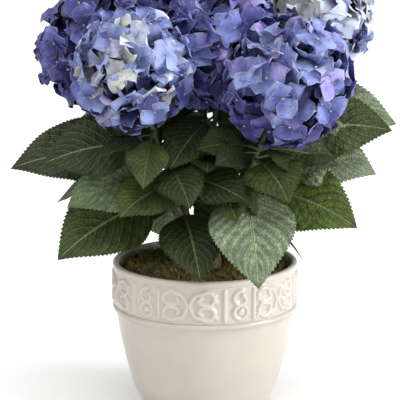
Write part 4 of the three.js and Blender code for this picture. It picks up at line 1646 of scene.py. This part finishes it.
def press_head(mesh, cane):
    """Presses a head between its neighbours; returns how deep or low in it each point lies, used as
    painted shade.
    """
    points = np.empty(len(mesh.vertices) * 3, np.float32)
    mesh.vertices.foreach_get("co", points)
    points = points.reshape(-1, 3).astype(float) / METRES
    away = np.linalg.norm(points, axis=1)
    soft = cane.radius * 0.88
    room = cane.radius * 1.1 - soft
    low = np.clip(0.15 - points[:, 2] / cane.radius, 0, 1)
    eased = np.where(away > soft, soft + room * np.tanh((away - soft) / room), away)
    points = pressed(points * (eased / np.maximum(away, 1e-6))[:, None], cane) * METRES
    mesh.vertices.foreach_set("co", points.astype(np.float32).ravel())
    mesh.update()
    # Painted shade: darker deeper inside the head and low on it.
    return 0.85 * np.clip((0.98 - away / cane.radius) / 0.3, 0, 1) ** 1.3 + 0.35 * low


def whole_numbers(mesh, name):
    """The whole numbers that a mesh's faces or points hold under a name."""
    values = mesh.attributes[name].data
    numbers = np.empty(len(values), np.int32)
    values.foreach_get("value", numbers)
    return numbers


def spread_florets(mesh, depth, seed):
    """Gives every sepal a cell of its own in the bake's map, and a painted shade that follows its
    depth and lowness in the head, with more on its underside and a random share of its own.
    """
    squares = np.empty(len(mesh.loops) * 2, np.float32)
    mesh.uv_layers["pattern"].uv.foreach_get("vector", squares)
    cells = whole_numbers(mesh, "cell")
    florets = whole_numbers(mesh, "floret")
    starts = np.empty(len(mesh.polygons), np.int32)
    mesh.polygons.foreach_get("loop_start", starts)
    corners = np.empty(len(mesh.loops), np.int32)
    mesh.loops.foreach_get("vertex_index", corners)
    sizes = np.empty(len(mesh.polygons), np.int32)
    mesh.polygons.foreach_get("loop_total", sizes)
    numbers = cells + florets[corners[starts]] * FLORET_CELLS
    lay_out(mesh, squares.reshape(-1, 2), np.repeat(numbers, sizes))
    # Added to the depth in the head: a random darkness for each sepal and more painted shade on its
    # underside.
    chance = np.random.default_rng(seed).random(numbers.max() + 2) ** 2
    own = 0.5 * chance[numbers - cells % 2] + 0.2 * (cells % 2)
    dusk = np.clip(depth[corners] + np.repeat(own, sizes), 0, 1)
    mesh.attributes.new("dusk", "FLOAT", "CORNER").data.foreach_set("value", dusk.astype(np.float32))


def petal_finish(name, rgb, other, strength):
    """A sepal: two drifting tints, painted violet shade where it lies deep or low in the head and on
    its underside, darker towards its foot, fanned veins, and a thin pale rim and paler outer half,
    partly painted highlight, where it is unshaded.
    """
    finish = Finish(name, 0.6, 0.3)
    sheet = finish.sheet
    uv = sheet.add("ShaderNodeUVMap", uv_map="pattern").outputs[0]
    place = sheet.add("ShaderNodeSeparateXYZ", {0: uv}).outputs
    dusk = sheet.add("ShaderNodeAttribute", attribute_name="dusk").outputs["Fac"]
    shadow = tuple(part * tint for part, tint in zip(rgb, (0.24, 0.2, 0.34))) + (1.0,)
    across = sheet.math("ABSOLUTE", sheet.math("MULTIPLY_ADD", place[1], 2.0, -1.0))
    body = sheet.mix(sheet.ramp(finish.noise(30, 3), 0.36, 0.66, 0, 0.7), rgba(rgb), rgba(other))
    blotch = sheet.ramp(finish.noise(95, 3), 0.3, 0.7, 0.25, -0.15)
    # Darker towards the foot: partly the floret's own deeper centre, partly painted shade.
    foot = sheet.ramp(place[0], 0.0, 0.55, 0.45 * strength, 0.0)
    # Painted shade from the head's depth, lowness and undersides, with random blotches and the darker
    # foot, mixed towards a dark violet copy of the tone.
    shade_amount = sheet.math("ADD", sheet.math("ADD", dusk, blotch), foot)
    body = sheet.mix(sheet.ramp(shade_amount, 0.0, 1.1, 0.0, 1.0), body, shadow)
    streaks = sheet.math("MULTIPLY", place[0], 1.5)
    fan = sheet.add("ShaderNodeCombineXYZ", {0: streaks, 1: sheet.math("MULTIPLY", place[1], 17.0)})
    sockets = {"Vector": fan.outputs[0], "Scale": 1.6, "Detail": 2.0}
    veins = sheet.add("ShaderNodeTexNoise", sockets).outputs[0]
    body = sheet.mix(sheet.ramp(veins, 0.45, 0.7, 0.0, 0.3 * strength), body, shade(rgb, 0.5))
    # The pale rim and paler outer half are partly the sepal's own paler edge and partly painted
    # highlight, kept to the unshaded parts.
    lit = sheet.math("SUBTRACT", 1.0, dusk)
    outer = sheet.ramp(place[0], 0.4, 0.95, 0.0, 0.5)
    between = sheet.ramp(veins, 0.3, 0.6, 1.0, 0.0)
    pale_outer_and_highlight = sheet.math("MULTIPLY", outer, between)
    edge = sheet.math("MAXIMUM", sheet.math("POWER", place[0], 1.3), across)
    rim = sheet.math("MAXIMUM", sheet.ramp(edge, 0.88, 1.0, 0.0, 0.5), pale_outer_and_highlight)
    pale = tuple(part + (1 - part) * 0.42 for part in rgb) + (1.0,)
    finish.paint(sheet.mix(sheet.math("MULTIPLY", rim, lit), body, pale))
    finish.relief(sheet.math("ADD", veins, finish.noise(260, 2)), 0.0006, 0.8)
    return finish.material


def bead_finish(settings):
    """A small greenish bead, darker in freckles."""
    finish = Finish("floret_bead", 0.45, 0.4)
    freckles = finish.sheet.ramp(finish.noise(700, 2), 0.4, 0.6, 0, 1)
    finish.paint(finish.sheet.mix(freckles, shade(settings.bead, 0.6), shade(settings.bead, 1.5)))
    return finish.material


class HYDRANGEA_OT_blossom(bpy.types.Operator):
    """Make the florets of each flower head and press the heads together"""

    bl_idname = "hydrangea.blossom"
    bl_label = "Flower heads"

    def execute(self, context):
        settings = context.scene.hydrangea_blossom
        petals = [
            petal_finish(f"petal_{own}", getattr(settings, own), getattr(settings, other), strength)
            for own, (other, strength) in TONES.items()
        ]
        stalk = bpy.data.materials.get("green_stem") or stem_finish(context.scene.hydrangea_stems)
        shapes = shape_collection("floret_shapes", [floret_mesh(i) for i in range(FLORET_SHAPES)])
        tree = blossom_tree(petals, bead_finish(settings), stalk)
        for index, cane in enumerate(grown_canes()):
            head = new_object(f"blossom_{cane.name}", head_points(cane, index, settings))
            mesh = grow(head, tree, shapes=shapes)
            spread_florets(mesh, press_head(mesh, cane), index)
            mesh.set_sharp_from_angle(angle=math.radians(60))
            wear(head, cane.slot, f"flower_head_{cane.name}")
        drop_collection(shapes)
        return {"FINISHED"}


# ------------------------------------------------------------------ stage

def area_light(name, power, size, place, target):
    """A soft square light that looks at a point."""
    data = bpy.data.lights.new(name, "AREA")
    data.energy, data.size = power, size
    lamp = new_object(name, data)
    lamp.location = place
    lamp.rotation_euler = (Vector(place) - Vector(target)).to_track_quat("Z", "Y").to_euler()
    return lamp


def floor_finish():
    """A matt white floor with a trace of grain."""
    finish = Finish("studio_floor", 0.9, 0.1)
    finish.paint(finish.sheet.mix(finish.noise(3, 2), (0.82, 0.82, 0.82, 1), (0.85, 0.85, 0.85, 1)))
    return finish.material


class HYDRANGEA_OT_stage(bpy.types.Operator):
    """Set up the plain floor, the soft lights and the camera"""

    bl_idname = "hydrangea.stage"
    bl_label = "Stage"

    def execute(self, context):
        settings = context.scene.hydrangea_stage
        mesh = bpy.data.meshes.new("floor")
        half = 9.0
        corners = [(-half, -half, 0), (half, -half, 0), (half, half, 0), (-half, half, 0)]
        mesh.from_pydata(corners, [], [(0, 1, 2, 3)])
        mesh.materials.append(floor_finish())
        floor = new_object("floor", mesh)
        floor.location.z = -0.0004
        world = bpy.data.worlds.new("soft_sky")
        world.use_nodes = True
        world.node_tree.nodes["Background"].inputs["Color"].default_value = (1, 1, 1, 1)
        world.node_tree.nodes["Background"].inputs["Strength"].default_value = settings.sky
        context.scene.world = world
        middle = (0, 0, 0.25)
        soft = bpy.data.lights.new("overhead_light", "SUN")
        soft.energy, soft.angle = settings.overhead, math.radians(75)
        above = new_object("overhead_light", soft)
        above.rotation_euler = (math.radians(10), math.radians(-8), 0)
        area_light("key_light", settings.key, 0.9, (1.8, -0.6, 0.9), middle)
        area_light("fill_light", settings.fill, 1.6, (-1.6, -1.6, 1.0), middle)
        camera = bpy.data.cameras.new("camera")
        camera.sensor_width = 36
        camera.lens = 36 * settings.distance / settings.view_width
        camera.clip_end = 50
        eye = new_object("camera", camera)
        up, tilt = Vector(settings.target), settings.elevation
        eye.location = up + settings.distance * Vector((0, -math.cos(tilt), math.sin(tilt)))
        eye.rotation_euler = (math.pi / 2 - tilt, 0, 0)
        context.scene.camera = eye
        context.scene.view_settings.view_transform = "Standard"
        return {"FINISHED"}


# ------------------------------------------------------------------ panel and start

STEPS = [
    HYDRANGEA_OT_pot,
    HYDRANGEA_OT_filling,
    HYDRANGEA_OT_wood,
    HYDRANGEA_OT_shoots,
    HYDRANGEA_OT_blossom,
    HYDRANGEA_OT_stage,
]


class HYDRANGEA_PT_steps(bpy.types.Panel):
    """Lists the steps that dress the frame"""

    bl_label = "Potted Hydrangea"
    bl_idname = "HYDRANGEA_PT_steps"
    bl_space_type = "VIEW_3D"
    bl_region_type = "UI"
    bl_category = "Hydrangea"

    def draw(self, context):
        for step in STEPS:
            self.layout.operator(step.bl_idname)
        for name in SETTINGS:
            box = self.layout.box()
            group = getattr(context.scene, name)
            for key in group.__annotations__:
                box.prop(group, key)


def register():
    for kind in (*SETTINGS.values(), *STEPS, HYDRANGEA_PT_steps):
        bpy.utils.register_class(kind)
    for name, kind in SETTINGS.items():
        setattr(bpy.types.Scene, name, PointerProperty(type=kind))


def unregister():
    for name in SETTINGS:
        delattr(bpy.types.Scene, name)
    for kind in reversed((*SETTINGS.values(), *STEPS, HYDRANGEA_PT_steps)):
        bpy.utils.unregister_class(kind)


def main():
    """Registers the classes and dresses the frame in order."""
    register()
    bpy.ops.hydrangea.pot()
    bpy.ops.hydrangea.filling()
    bpy.ops.hydrangea.wood()
    bpy.ops.hydrangea.shoots()
    bpy.ops.hydrangea.blossom()
    bpy.ops.hydrangea.stage()


if __name__ == "__main__":
    main()
